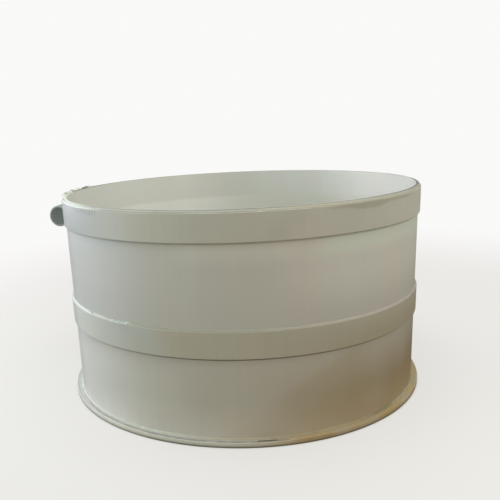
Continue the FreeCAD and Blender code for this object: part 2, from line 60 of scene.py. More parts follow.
class Paint:
    """One value in a material. Sums and products of values add Math nodes."""

    def __init__(self, tree, outlet=None):
        self.tree = tree
        self.outlet = outlet

    def node(self, kind, sockets, outlet=0, stops=None, **settings):
        """Add any other node: its settings first, then its sockets' values or links."""
        made = self.tree.nodes.new("ShaderNode" + kind)
        for setting, given in settings.items():
            setattr(made, setting, given)
        if stops:
            for place, tone in stops:
                made.color_ramp.elements.new(place).color = (*tone, 1.0)
            made.color_ramp.elements.remove(made.color_ramp.elements[0])
            made.color_ramp.elements.remove(made.color_ramp.elements[-1])
        for socket, given in sockets.items():
            if isinstance(given, Paint):
                self.tree.links.new(given.outlet, made.inputs[socket])
            else:
                made.inputs[socket].default_value = given
        return Paint(self.tree, made.outputs[outlet])

    def math(self, operation, first, second):
        return self.node("Math", {0: first, 1: second}, operation=operation)

    def __add__(self, other):
        return self.math("ADD", self, other)

    def __sub__(self, other):
        return self.math("SUBTRACT", self, other)

    def __rsub__(self, other):
        return self.math("SUBTRACT", other, self)

    def __mul__(self, other):
        return self.math("MULTIPLY", self, other)

    def __pow__(self, other):
        return self.math("POWER", self, other)

    __radd__ = __add__
    __rmul__ = __mul__


def rise(value, low, high):
    """0 below low, 1 above high, and a smooth slope between; low may be the larger."""
    return value.node(
        "MapRange",
        {"Value": value, "From Min": low, "From Max": high},
        interpolation_type="SMOOTHSTEP",
    )


def blend(share, under, over):
    """The colour under, covered by the colour over where share is 1."""
    tones = {}
    for socket, tone in ((6, under), (7, over)):
        tones[socket] = tone if isinstance(tone, Paint) else (*tone, 1.0)
    return share.node("Mix", {0: share, **tones}, 2, data_type="RGBA")


def lit(tone, amount):
    """A colour made lighter or darker by a number that changes over the surface."""
    return amount.node("VectorMath", {0: tone, "Scale": amount}, operation="SCALE")


def cloud(place, scale, detail=2.0, stretch=(1.0, 1.0, 1.0), rough=0.5):
    """Soft noise from 0 to 1, drawn out along the axes whose stretch is small."""
    spread = place.node("Mapping", {"Vector": place, "Scale": stretch})
    return place.node(
        "TexNoise", {"Vector": spread, "Scale": scale, "Detail": detail, "Roughness": rough}
    )


def new_material(name):
    """An empty material, and the object coordinates to paint it by."""
    material = bpy.data.materials.new(name)
    material.use_nodes = True
    start = Paint(material.node_tree)
    return material, start.node("TexCoord", {}, "Object")


def close_material(material, tone, roughness, height=None, depth=0.0, **fixed):
    """Link the colour, roughness and bump to the material's shader."""
    tree = material.node_tree
    shader = tree.nodes["Principled BSDF"]
    for socket, given in (("Base Color", tone), ("Roughness", roughness)):
        if isinstance(given, Paint):
            tree.links.new(given.outlet, shader.inputs[socket])
        else:
            shader.inputs[socket].default_value = given
    for socket, given in fixed.items():
        shader.inputs[socket.replace("_", " ")].default_value = given
    if height is not None:
        bump = height.node("Bump", {"Height": height, "Distance": depth})
        tree.links.new(bump.outlet, shader.inputs["Normal"])
    return material


def apart(place):
    """The three coordinates, and the distance from the tank's axis."""
    x, y, z = (place.node("SeparateXYZ", {"Vector": place}, axis) for axis in "XYZ")
    return x, y, z, (x * x + y * y) ** 0.5


def plastic(name, tone, marks=None, gloss=0.40, run_marks=0.05, peel=0.00006):
    """Satin natural polypropylene: a cloudy tone, faint upright run marks, scratches."""
    material, place = new_material(name)
    patches = cloud(place, 3.1, 3.0)
    runs = cloud(place, 1.0, 2.0, (46.0, 46.0, 1.3))
    rubbed = cloud(place, 1.0, 2.0, (7.0, 7.0, 190.0))
    scratch = rise(rubbed, 0.66, 0.76) * rise(cloud(place, 5.0), 0.5, 0.62)
    grain = cloud(place, 420.0, 2.0)
    tint = rise(cloud(place, 1.0, 1.0, (8.0, 8.0, 2.6)), 0.35, 0.65)
    tone = blend(tint, [0.985 * tone[0], tone[1], tone[2]], [tone[0], 0.985 * tone[1], 0.98 * tone[2]])
    shade = 1.0 + 0.07 * (patches - 0.5) + run_marks * (runs - 0.5) + 0.05 * scratch
    colour = lit(tone, shade)
    if marks:
        colour = marks(place, colour)
    gloss = gloss(place) if callable(gloss) else gloss
    roughness = gloss + 0.10 * (patches - 0.5) + 0.08 * (runs - 0.5) + 0.10 * scratch
    height = 0.8 * grain + 0.5 * scratch + 2.2 * cloud(place, 34.0, 1.0)
    return close_material(material, colour, roughness, height, peel, IOR=1.49)


def to_piece(name, mesh, material, slot, *nodes, crease=38.0, even_shading=True):
    """Turn a finished bmesh into a piece of the tank that stands for those nodes."""
    data = bpy.data.meshes.new(name)
    mesh.to_mesh(data)
    mesh.free()
    data.shade_smooth()
    data.set_sharp_from_angle(angle=math.radians(crease))
    data.materials.append(material)
    made = bpy.data.objects.new(name, data)
    bpy.context.scene.collection.objects.link(made)
    if even_shading:
        made.modifiers.new("EvenShading", "WEIGHTED_NORMAL").keep_sharp = True
    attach(made, "root")
    if nodes:
        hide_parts(*nodes)
    return made


def round_edges(mesh, width, segments=2, least=0.6):
    """Bevel every edge that turns by more than the least angle, in radians."""
    sharp = [e for e in mesh.edges if len(e.link_faces) == 2 and e.calc_face_angle() > least]
    bmesh.ops.bevel(
        mesh, geom=sharp, offset=width, offset_type="OFFSET", segments=segments,
        profile=0.5, affect="EDGES", clamp_overlap=True, material=-1,
    )


def plate_marks(place, colour):
    """Painted shade on the top beside the weld, a painted highlight on the edge, a thin dark line on the top,
    brown process dirt on the right that is partly painted shade, and painted shadow along the bottom.
    """
    x, y, z, radius = apart(place)
    front = rise(y, 0.10, -0.05)
    top = rise(z, plate_top - 0.0030, plate_top - 0.0015) * rise(radius, 0.7690, 0.7670)
    edge = rise(radius, plate_radius - 0.0016, plate_radius - 0.0006)
    far_left = rise(x, -0.56, -0.71)
    # Painted shade on the top beside the weld, less at the far left, and a painted highlight on the edge,
    # strongest at the left and on its upper part.
    dull = top * (0.14 - 0.28 * far_left) + 0.06 * (1.0 - edge)
    edge_highlight = 0.06 + 0.18 * rise(x, -0.20, -0.60) + 0.20 * rise(z, 0.0085, 0.0125)
    colour = lit(colour, 1.0 - front * dull + front * edge * edge_highlight)
    # Brown to yellow process dirt on the right, partly real and partly painted shade.
    right = rise(x, -0.10, 0.28) * rise(y, 0.35, -0.05)
    patch = rise(cloud(place, 7.0, 3.0), 0.34, 0.66)
    yellow = blend(rise(x, 0.45, 0.70), (0.50, 0.345, 0.155), (0.64, 0.50, 0.275))
    colour = blend(right * (0.60 + 0.34 * patch), colour, yellow)
    line_radius = 0.7665 - 0.0085 * far_left
    beyond = radius - line_radius
    line = rise(beyond, -0.0045, -0.0010) * rise(beyond + 0.0050 * rise(x, -0.30, -0.55), 0.0103, 0.0085)
    gap = rise(x, 0.035, 0.045) * rise(x, 0.115, 0.105)
    speck = rise(cloud(place, 30.0, 2.0), 0.36, 0.60)
    share = 0.26 + 0.20 * speck - 0.36 * rise(x, 0.12, 0.20) - 0.04 * rise(x, -0.30, -0.55) - 0.18 * far_left
    share = share * rise(x, -0.700, -0.688) * rise(x, 0.30, 0.20)
    colour = blend(line * front * share, colour, (0.085, 0.080, 0.055))
    open_joint = gap * rise(beyond, -0.0056, -0.0040) * rise(beyond, 0.0050, 0.0034)
    colour = blend(0.85 * open_joint * front, colour, (0.06, 0.052, 0.035))
    # Painted shadow along the plate's bottom edge, where it meets the floor.
    under = rise(z, 0.0100, 0.0010) * front * (0.66 + 0.20 * rise(x, -0.62, -0.25))
    return blend(under, colour, (0.085, 0.072, 0.048))


plate_mesh = bmesh.new()
bmesh.ops.create_circle(plate_mesh, cap_ends=True, segments=720, radius=plate_radius)
raised = bmesh.ops.extrude_face_region(plate_mesh, geom=plate_mesh.faces[:])
bmesh.ops.translate(
    plate_mesh, verts=[v for v in raised["geom"] if isinstance(v, bmesh.types.BMVert)],
    vec=(0.0, 0.0, plate_top),
)
bmesh.ops.recalc_face_normals(plate_mesh, faces=plate_mesh.faces[:])
round_edges(plate_mesh, plate_edge_round)
base_finish = plastic("base_sheet", (0.61, 0.605, 0.575), plate_marks, gloss=0.44)
to_piece("base_disc", plate_mesh, base_finish, "fabricated_sheet", "base_plate")

# Shell: two sheets of natural polypropylene, rolled to the tank's radius and welded edge to
# edge at the sides. The rolls left them a little out of round, and the sawn top edge is grey.
sheet_steps = 720
sheet_rows = 9
front_start, front_sweep = math.radians(175.0), math.radians(190.0)
shell_edge_round = 0.0009
rim_band_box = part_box("rim_band_front")
mid_band_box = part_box("mid_band_front")
drain_height = (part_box("drain_flange")[0].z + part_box("drain_flange")[1].z) / 2
drain_hole = 0.0318
vacuum_height = 0.250
vacuum_hole = 0.0453
riser_turn = math.radians(151.0)


def loft(outlines, joined=False):
    """Skin a run of closed outlines, each a list of points, from the first to the last."""
    count, corners = len(outlines), len(outlines[0])
    steps = count if joined else count - 1
    mesh = bmesh.new()
    bmesh.ops.create_grid(mesh, x_segments=steps, y_segments=corners, size=1.0)
    for vertex in mesh.verts:
        step = round((vertex.co.x + 1.0) / 2.0 * steps) % count
        corner = round((vertex.co.y + 1.0) / 2.0 * corners) % corners
        vertex.co = outlines[step][corner]
    bmesh.ops.remove_doubles(mesh, verts=mesh.verts[:], dist=1e-6)
    bmesh.ops.holes_fill(mesh, edges=[e for e in mesh.edges if e.is_boundary], sides=0)
    bmesh.ops.recalc_face_normals(mesh, faces=mesh.faces[:])
    return mesh


def ring(outline, steps, start=0.0, sweep=math.tau):
    """Turn a closed outline of (radius, height) about the tank's upright axis."""
    whole = sweep >= math.tau
    turns = [start + sweep * step / steps for step in range(steps if whole else steps + 1)]
    outlines = []
    for turn in turns:
        outlines.append([(r * math.cos(turn), r * math.sin(turn), h) for r, h in outline])
    return loft(outlines, joined=whole)


def add_rows(mesh, low, high, rows):
    """Cut a mesh level at even heights, so that it can be bent out of true."""
    for row in range(1, rows):
        bmesh.ops.bisect_plane(
            mesh, geom=mesh.verts[:] + mesh.edges[:] + mesh.faces[:],
            plane_co=(0.0, 0.0, low + (high - low) * row / rows), plane_no=(0.0, 0.0, 1.0),
        )


def out_of_round(mesh):
    """Push everything on the shell outwards by up to 1.6 mm, as the rolls left it."""
    for vertex in mesh.verts:
        way = Vector((vertex.co.x, vertex.co.y, 0.0)).normalized()
        spot = Vector((way.x * 2.6, way.y * 2.6, vertex.co.z * 1.7))
        vertex.co += way * (0.0008 + 0.0008 * noise.noise(spot))


def sheet_marks(place, colour):
    """Painted shadow under the bands, painted light and shade across the wall outside and in, a stain low on
    the right that is partly painted shade, and a sawn top edge.
    """
    x, y, z, radius = apart(place)
    outside = rise(radius, shell_radius - 0.004, shell_radius - 0.003)
    speck = cloud(place, 24.0, 3.0)
    # A brown process stain low on the right, partly real and partly painted shade; the warm tint near the foot
    # below is part of it.
    stain_and_shade_low_right = rise(z, 0.40, 0.12) * rise(x, -0.05, 0.62) * rise(y, 0.30, -0.10)
    patch = rise(cloud(place, 3.4, 2.0), 0.25, 0.70)
    colour = blend(outside * stain_and_shade_low_right * (0.54 + 0.24 * patch + 0.05 * rise(x, 0.45, 0.60)), colour, stain_and_shade_tone)
    warm = rise(z - 0.55 * x, 0.14, 0.08) * rise(z, 0.03, 0.11) * rise(y, 0.30, -0.10)
    warm = warm * rise(x, 0.05, 0.20) * rise(x, 0.50, 0.38)
    colour = blend(0.20 * outside * warm, colour, (0.34, 0.225, 0.03))
    # Painted light: the lower wall is lighter towards the left, where the lamps reach it; its brown tint
    # towards the right belongs to the stain and painted shade.
    low = rise(z, 0.42, 0.22) * outside
    colour = lit(colour, 1.0 + 0.26 * low * rise(x, -0.30, -0.64) + 0.08 * low * rise(x, -0.655, -0.70))
    colour = blend(0.16 * low * rise(x, -0.45, 0.05), colour, (0.42, 0.33, 0.19))
    # Painted cool light: a paler, cooler patch on the lower front wall, left of middle.
    cool_light_patch = rise(z, 0.32, 0.22) * rise(z, 0.07, 0.14) * rise(x, -0.50, -0.42) * rise(x, -0.16, -0.30)
    colour = blend(0.12 * outside * cool_light_patch * rise(y, 0.0, -0.2), colour, (0.88, 0.97, 0.83))
    # Painted shadow on the wall just under each band's lower edge, stronger towards the right.
    thick_line = 0.36 * rise(x, 0.20, 0.32) - 0.06
    # Painted shade low on the right, where the wall turns away from the lamps.
    at_right = rise(z, 0.12, 0.20) * rise(x, 0.60, 0.69) * rise(y, 0.05, -0.20)
    colour = lit(colour, 1.0 - 0.12 * low * at_right)
    for band_box, reach, dirty in (
        (rim_band_box, 0.0120, thick_line), (mid_band_box, 0.0085, 0.45 * rise(x, -0.70, 0.0)),
    ):
        edge = band_box[0].z
        line = rise(z, edge - reach, edge - 0.0028) * rise(z, edge + 0.004, edge + 0.001)
        fade = 0.42 + dirty + 0.25 * (speck - 0.5)
        colour = blend(outside * line * fade, colour, (0.10, 0.088, 0.055))
    # Painted light on the foot at the left; its brown towards the right belongs to the stain and painted shade.
    foot = rise(z, 0.18, 0.03) * outside
    colour = lit(colour, 1.0 + 0.22 * foot * rise(x, -0.70, -0.45))
    colour = blend(0.30 * foot * rise(x, -0.15, 0.10), colour, (0.43, 0.315, 0.17))
    # Painted shade along the far left of the wall.
    colour = blend(0.40 * outside * rise(x, -0.655, -0.70), colour, (0.41, 0.43, 0.37))
    inside = 1.0 - outside
    backed = rise(z, 0.711, 0.730)
    # A darker strip along the top of the inner wall.
    dark_inner_top = rise(z, shell_top - 0.0050, shell_top - 0.0025)
    colour = blend(0.15 * inside * dark_inner_top, colour, (0.25, 0.26, 0.24))
    # Painted light and shade inside: lighter at the left, where light comes through the wall, brightest at the
    # right, which faces the lamps, and painted shade in the middle and where the band backs the wall.
    clean = 0.30 * rise(x, 0.05, -0.34) + 0.10 * rise(x, -0.35, -0.60) + 0.35 * rise(x, 0.36, 0.70)
    shade = 0.03 + 0.09 * rise(x, 0.37, 0.00) + clean - 0.20 * rise(x, 0.45, -0.30) * backed
    colour = lit(colour, 1.0 + inside * shade)
    colour = blend(0.18 * inside, colour, (0.60, 0.65, 0.56))
    unlit = inside * rise(z, 0.75, 0.70) * rise(x, -0.15, 0.10)
    colour = blend(0.25 * unlit, colour, (0.53, 0.53, 0.40))
    # Painted light and reflection: the upper front wall grows lighter and paler towards the right.
    upper = rise(z, 0.42, 0.62) * rise(y, 0.10, -0.10) * outside
    colour = lit(colour, 1.0 + upper * (0.04 + 0.18 * rise(x, 0.05, 0.45)))
    colour = blend(0.16 * upper * rise(x, 0.05, 0.45), colour, (0.66, 0.66, 0.66))
    # Painted light on the wall just under the rim band, lifting the band's shade.
    below_rim = rise(z, 0.64, 0.72) * rise(x, -0.30, -0.14) * (1.0 - 0.65 * rise(x, 0.12, 0.24))
    colour = lit(colour, 1.0 + 0.14 * outside * below_rim * rise(y, 0.10, -0.10))
    # Painted light: a paler, cooler strip under the rim band at the right.
    light_under_rim_right = rise(z, 0.655, 0.70) * rise(x, 0.22, 0.34) * rise(y, 0.10, -0.10)
    colour = blend(0.30 * outside * light_under_rim_right, colour, (0.78, 0.93, 0.87))
    sawn = rise(z, shell_top - 0.0012, shell_top - 0.0003) * rise(radius, 0.7372, 0.7378)
    under_weld = rise(x, -0.60, -0.66) * rise(y, 0.02, 0.07)
    to_front = 0.0050 * rise(x, 0.38, 0.50) * rise(y, 0.05, -0.05)
    # The sawn edge is darker on its outer part.
    dark_rim_line = rise(radius + 0.0045 * rise(y, 0.05, 0.20) + to_front, 0.7435, 0.7455)
    dark_rim_line = dark_rim_line * (1.0 - rise(x, -0.52, -0.62) * rise(y, 0.05, 0.0))
    edge_tone = blend(dark_rim_line, (0.76, 0.76, 0.68), (0.13, 0.13, 0.105))
    edge_tone = blend(under_weld, edge_tone, (0.10, 0.10, 0.085))
    return blend(sawn * (0.85 + 0.3 * (speck - 0.5)), colour, edge_tone)


def rolled_sheet(start, sweep):
    """A rolled sheet on edge, standing on the base plate."""
    outline = [
        (shell_radius - shell_wall, plate_top), (shell_radius, plate_top),
        (shell_radius, shell_top), (shell_radius - shell_wall, shell_top),
    ]
    mesh = ring(outline, round(sheet_steps * sweep / math.tau), start, sweep)
    round_edges(mesh, shell_edge_round)
    add_rows(mesh, plate_top, shell_top, sheet_rows)
    out_of_round(mesh)
    return mesh


def drill(radius, turn, height, depth=0.16):
    """A cutting rod through the shell wall, level with a nozzle."""
    mesh = bmesh.new()
    bmesh.ops.create_cone(
        mesh, cap_ends=True, segments=96, radius1=radius, radius2=radius, depth=depth
    )
    lie = Matrix.Rotation(turn, 4, "Z") @ Matrix.Translation((shell_radius, 0.0, height))
    bmesh.ops.transform(mesh, verts=mesh.verts[:], matrix=lie @ Matrix.Rotation(math.pi / 2, 4, "Y"))
    data = bpy.data.meshes.new("drill")
    mesh.to_mesh(data)
    mesh.free()
    return bpy.data.objects.new("drill", data)


def cut_away(piece, *cutters, operation="DIFFERENCE"):
    """Take the cutters' shapes out of a piece for good, or join them to it."""
    for cutter in cutters:
        bpy.context.scene.collection.objects.link(cutter)
        bite = piece.modifiers.new("Hole", "BOOLEAN")
        bite.object = cutter
        bite.operation = operation
        bite.solver = "EXACT"
    ready = piece.evaluated_get(bpy.context.evaluated_depsgraph_get())
    data = bpy.data.meshes.new_from_object(ready)
    piece.modifiers.clear()
    piece.data = data
    for cutter in cutters:
        bpy.data.objects.remove(cutter)


sheet_finish = plastic("rolled_sheet", sheet_tone, sheet_marks, gloss=0.42)
to_piece("shell_front", rolled_sheet(front_start, front_sweep), sheet_finish,
         "natural_sheet", "shell_front_sheet")
shell_rear = to_piece(
    "shell_rear", rolled_sheet(front_start + front_sweep - math.tau, math.tau - front_sweep),
    sheet_finish, "natural_sheet", "shell_rear_sheet", even_shading=False,
)
cut_away(shell_rear, drill(vacuum_hole, riser_turn, vacuum_height),
         drill(drain_hole, math.pi / 2, drain_height))
shell_rear.modifiers.new("EvenShading", "WEIGHTED_NORMAL").keep_sharp = True

# Reinforcing bands: flat polypropylene strips bent round the shell, one just under the rim
# and one at mid height, each in two lengths. Their sawn edges are eased with a scraper.
band_steps = 900
band_edge_round = 0.0016
band_tone = (0.585, 0.572, 0.535)
# The mid band's tone is the rim band's made darker and warmer: painted shade for the lower band.
mid_band_shaded_tone = (0.522, 0.506, 0.446)
rim_joint = math.radians(20.0)
mid_joint = math.radians(10.0)


def band_marks(place, colour):
    """Scraper marks below the welds at the left, painted light and shade across the bands, a stain at the lower
    right that is partly painted shade, and painted shadow along the bands' lower edges.
    """
    x, y, z, radius = apart(place)
    front = rise(y, 0.0, -0.1)
    strokes = rise(cloud(place, 1.0, 1.0, (330.0, 40.0, 6.0)), 0.46, 0.58)
    ragged = 0.016 * cloud(place, 90.0, 1.0)
    rim_marks = rise(x, -0.630, -0.600) * rise(x, -0.500, -0.512) * rise(z + ragged, 0.824, 0.834)
    mid_marks = rise(x, -0.560, -0.540) * rise(x, -0.400, -0.420) * rise(z + ragged, 0.404, 0.412)
    mid_marks = mid_marks * rise(z, 0.50, 0.45)
    marked = rim_marks + 0.35 * mid_marks
    colour = blend(0.46 * front * strokes * marked, colour, (0.26, 0.28, 0.25))
    # Painted light and shade on the rim band: lighter at the right, darker and cooler towards the far left,
    # with a painted shadow of the pipe's end cap at its left edge.
    at_rim = rise(z, 0.60, 0.70)
    colour = lit(colour, 1.0 + at_rim * front * (0.10 * rise(x, 0.35, 0.60) - 0.20 * rise(x, -0.40, -0.64)))
    colour = blend(0.26 * at_rim * rise(y, 0.5, -0.1) * rise(x, -0.56, -0.64), colour, (0.27, 0.37, 0.335))
    colour = blend(0.36 * at_rim * rise(y, 0.3, -0.1) * rise(x, -0.682, -0.705), colour, (0.29, 0.32, 0.315))
    colour = lit(colour, 1.0 - 0.15 * at_rim * front * rise(x, -0.62, -0.69) * rise(z, 0.74, 0.79))
    # Painted light on the mid band's front left, towards the lamps, with painted shade at its far-left edge.
    pale = (1.0 - at_rim) * front * rise(x, -0.36, -0.66)
    colour = blend(0.9 * pale, colour, (0.70, 0.70, 0.68))
    colour = lit(colour, 1.0 - 0.17 * pale * rise(x, -0.66, -0.70))
    # Painted cool light on the mid band, front left of middle.
    cool_light_patch = (1.0 - at_rim) * front * rise(x, -0.24, -0.34) * rise(x, -0.56, -0.48)
    colour = blend(0.25 * cool_light_patch, colour, (0.61, 0.67, 0.77))
    soiled = rise(x, 0.36, 0.42) * rise(x, 0.54, 0.48)
    toe = rise(z + 0.010 * soiled, 0.822, 0.833) * rise(x, 0.26, 0.36) * rise(x, 0.68, 0.60) * front
    colour = blend(0.40 * toe, colour, (0.33, 0.30, 0.22))
    # The brown stain at the lower right, partly real and partly painted shade.
    stain_and_shade_low_right = rise(z, 0.46, 0.34) * rise(x, -0.10, 0.60) * rise(y, 0.30, -0.10)
    colour = blend(0.34 * stain_and_shade_low_right, colour, stain_and_shade_tone)
    smudge = rise(cloud(place, 4.2, 4.0), 0.56, 0.72)
    colour = blend(0.10 * smudge, colour, (0.30, 0.26, 0.19))
    # Painted shadow along each band's lower edge.
    under = rise(z, mid_band_box[0].z + 0.0022, mid_band_box[0].z + 0.0005)
    rim_under = rise(z, rim_band_box[0].z + 0.0022, rim_band_box[0].z + 0.0005) * rise(z, 0.70, 0.71)
    rim_share = 0.36 + 0.34 * rise(x, 0.20, 0.32)
    return blend(0.7 * under + rim_share * rim_under, colour, (0.12, 0.105, 0.07))


def strip(box, start, sweep):
    """One length of band: a flat strip bent round the shell."""
    outer = -box[0].y
    inner = shell_radius + 0.0003
    outline = [(inner, box[0].z), (outer, box[0].z), (outer, box[1].z), (inner, box[1].z)]
    mesh = ring(outline, round(band_steps * sweep / math.tau), start, sweep)
    round_edges(mesh, band_edge_round, segments=3)
    add_rows(mesh, box[0].z, box[1].z, 4)
    out_of_round(mesh)
    return mesh


for label, box, joint, tone in (
    ("rim_band", rim_band_box, rim_joint, band_tone),
    ("mid_band", mid_band_box, mid_joint, mid_band_shaded_tone),
):
    band_finish = plastic(label + "_strip", tone, band_marks, gloss=0.40, run_marks=0.07)
    to_piece(label + "_front_strip", strip(box, math.pi - joint, math.pi + 2 * joint),
             band_finish, "band_strip", label + "_front")
    to_piece(label + "_rear_strip", strip(box, joint, math.pi - 2 * joint),
             band_finish, "band_strip", label + "_rear")

# Weld beads: polypropylene extruded hot into each corner by hand, so they are shiny, swell
# and shrink as the welder moved, and end in small lumps where the welder stopped.
bead_steps = 1620
bead_leg = 0.008
bead_bulge = 0.0013
bead_tone = (0.49, 0.54, 0.465)
wall_gap = 0.0003
stop_width = 0.006


def bead_dirt(place):
    """How dull the front of a weld is: clean and shiny at the left, dirty from there on."""
    x, y, z, radius = apart(place)
    clean_to = -0.410 - 0.090 * rise(z, 0.60, 0.70) - 0.290 * rise(z, 0.20, 0.10)
    return rise(y - 0.35 * rise(z, 0.20, 0.10), 0.15, -0.10) * rise(x - clean_to, -0.012, 0.020)


def bead_marks(place, colour):
    """Burnt specks, and grey to tan dirt that clings to the weld's upper side."""
    x, y, z, radius = apart(place)
    at_rim = rise(z, 0.60, 0.70)
    speck = rise(cloud(place, 60.0, 2.0), 0.66, 0.74)
    colour = blend(0.55 * speck, colour, (0.16, 0.11, 0.06))
    milky = rise(z, 0.35, 0.40) * rise(z, 0.60, 0.50) * rise(x, -0.66, -0.60) * rise(x, -0.46, -0.49)
    colour = blend(0.5 * milky, colour, (0.63, 0.61, 0.575))
    patch = cloud(place, 16.0, 2.0)
    crest = rise(z, 0.8430, 0.8462) * (0.30 + 0.70 * rise(x, -0.27, -0.31))
    rim_grey = blend(crest, (0.335, 0.330, 0.285), (0.46, 0.445, 0.41))
    at_foot = rise(z, 0.20, 0.10)
    streak = rise(cloud(place, 9.0, 1.0), 0.52, 0.62)
    foot_grey = blend(rise(x, -0.40, 0.05), (0.60, 0.60, 0.545), (0.47, 0.405, 0.31))
    low_grey = blend(at_foot, (0.365, 0.355, 0.300), foot_grey)
    mid_tan = blend(rise(x, 0.20, 0.50), (0.50, 0.45, 0.39), (0.57, 0.505, 0.47))
    far_right = rise(x, 0.54, 0.62)
    foot_tan = blend(streak, (0.36, 0.295, 0.18), (0.44, 0.36, 0.215))
    low_tan = blend(at_foot, mid_tan, blend(far_right, foot_tan, (0.48, 0.405, 0.255)))
    grey = blend(at_rim, low_grey, rim_grey)
    rim_tan = blend(rise(x, 0.30, 0.40), (0.455, 0.405, 0.325), (0.46, 0.425, 0.355))
    tan = blend(at_rim, low_tan, rim_tan)
    dirt = blend(rise(x, -0.06, 0.28), grey, tan)
    colour = blend(bead_dirt(place) * (0.90 + 0.25 * (patch - 0.5)), colour, dirt)
    shaded = at_foot * rise(x, 0.32, 0.60) * rise(y, 0.40, 0.15) * (1.0 - far_right)
    colour = lit(colour, 1.0 - 0.24 * shaded)
    # A thin dark line along the rim bead's crown, from the middle to the right.
    crown = z + 0.0010 * rise(x, 0.30, 0.45)
    dark_rim_line = at_rim * rise(crown, shell_top - 0.0016, shell_top - 0.0008) * rise(x, -0.56, -0.50)
    return blend(0.6 * dark_rim_line, colour, (0.13, 0.13, 0.105))


def bead_gloss(place):
    """Shiny where clean, satin where dirty."""
    return 0.34 + 0.26 * bead_dirt(place)


def fillet(corner_radius, corner_height, out, up, bulge=bead_bulge, points=5):
    """A corner weld's outline: out and up are the legs, with signs, and the face bulges."""
    toe = Vector((corner_radius + out, corner_height))
    top = Vector((corner_radius, corner_height + up))
    away = Vector((math.copysign(1.0, out), math.copysign(1.0, up))).normalized()
    outline = [(corner_radius, corner_height)]
    for step in range(points + 1):
        share = step / points
        spot = toe.lerp(top, share) + away * bulge * math.sin(math.pi * share)
        outline.append((spot.x, spot.y))
    return outline


def hand_laid(mesh, corner_radius, corner_height, stops=(), swell=0.16):
    """Make an even bead swell, ripple and lump, measured from its corner."""
    for vertex in mesh.verts:
        turn = math.atan2(vertex.co.y, vertex.co.x)
        way = Vector((math.cos(turn), math.sin(turn), 0.0))
        corner = way * corner_radius + Vector((0.0, 0.0, corner_height))
        slow = noise.noise(way * 9.0 + Vector((0.0, 0.0, corner_height * 7.0)))
        quick = noise.noise(way * 62.0 + Vector((0.0, 0.0, corner_height * 5.0)))
        size = 1.0 - swell + swell * (0.7 * slow + 0.5 * quick)
        for angle, lump in stops:
            near = (turn - math.radians(angle) + math.pi) % math.tau - math.pi
            size += lump * math.exp(-((near * corner_radius / stop_width) ** 2))
        vertex.co = corner + (vertex.co - corner) * size


bead_finish = plastic("weld", bead_tone, bead_marks, gloss=bead_gloss, peel=0.00012)
beads = (
    ("rim_bead", "rim_band_weld", shell_radius + wall_gap, rim_band_box[1].z, 1, 1,
     ((-133.0, -0.45), (-131.6, 0.20), (-112.0, 0.20), (-85.0, -0.50), (-38.0, 0.10), (104.0, 0.12))),
    ("mid_bead", "mid_band_weld", shell_radius + wall_gap, mid_band_box[1].z, 1, 1,
     ((-140.5, -0.75), (-139.3, 0.20), (-131.0, -0.35), (-128.6, -0.25), (-126.6, -0.35),
      (-123.8, 0.45), (-122.4, -0.30), (-60.0, 0.10), (75.0, 0.15))),
    ("foot_bead", "base_outer_weld", shell_radius + wall_gap, plate_top, 1, 1,
     ((-160.0, -0.5), (-158.9, 0.25), (-122.0, -0.3), (-120.8, 0.2), (-84.0, -0.3), (60.0, 0.2))),
    ("inner_foot_bead", "base_inner_weld", shell_radius - shell_wall - wall_gap, plate_top, -1, 1,
     ((15.0, 0.15), (120.0, 0.15))),
    ("plate_edge_bead", "filter_plate_weld", shell_radius - shell_wall - wall_gap,
     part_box("filter_plate_front")[1].z, -1, 1, ((-100.0, 0.15), (40.0, 0.2), (150.0, 0.2))),
)
for label, node, radius, height, out, up, stops in beads:
    bead = ring(fillet(radius, height, out * bead_leg, up * bead_leg), bead_steps)
    hand_laid(bead, radius, height, stops)
    out_of_round(bead)
    to_piece(label, bead, bead_finish, "weld_bead", node, even_shading=False)

# Rim weld: an extra run of polypropylene, built up by hand on the sawn rim over the band's
# left joint. It is thick, glassy and lumpy, with a burnt spot where the welder lingered.
top_bead_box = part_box("rim_top_weld")
top_bead_start, top_bead_end = 157.0, 191.0
top_bead_width = 0.024
top_bead_foot = 0.8465
top_bead_steps = 340


def top_bead_marks(place, colour):
    """Cream lumps that are partly painted highlights, a dark streak, painted shade along the toes and a brown
    burnt spot.
    """
    # Cream lumps at the far left, partly painted highlights on the glassy weld.
    lump = rise(cloud(place, 55.0, 2.0), 0.52, 0.62)
    colour = blend(0.5 * lump * rise(apart(place)[0], -0.735, -0.725), colour, (0.80, 0.74, 0.62))
    streak = rise(cloud(place, 38.0, 2.0, (1.0, 1.0, 0.4)), 0.60, 0.68)
    colour = blend(0.7 * streak, colour, (0.12, 0.10, 0.08))
    x, y, z, radius = apart(place)
    # Painted shade along both toes of the weld.
    shaded_toes = rise(radius, 0.7625, 0.7655) + rise(radius, 0.7480, 0.7455)
    colour = blend(0.7 * shaded_toes, colour, (0.16, 0.155, 0.13))
    burnt = rise(x, -0.715, -0.718) * rise(x, -0.731, -0.727)
    return blend(0.8 * burnt, colour, (0.10, 0.06, 0.03))


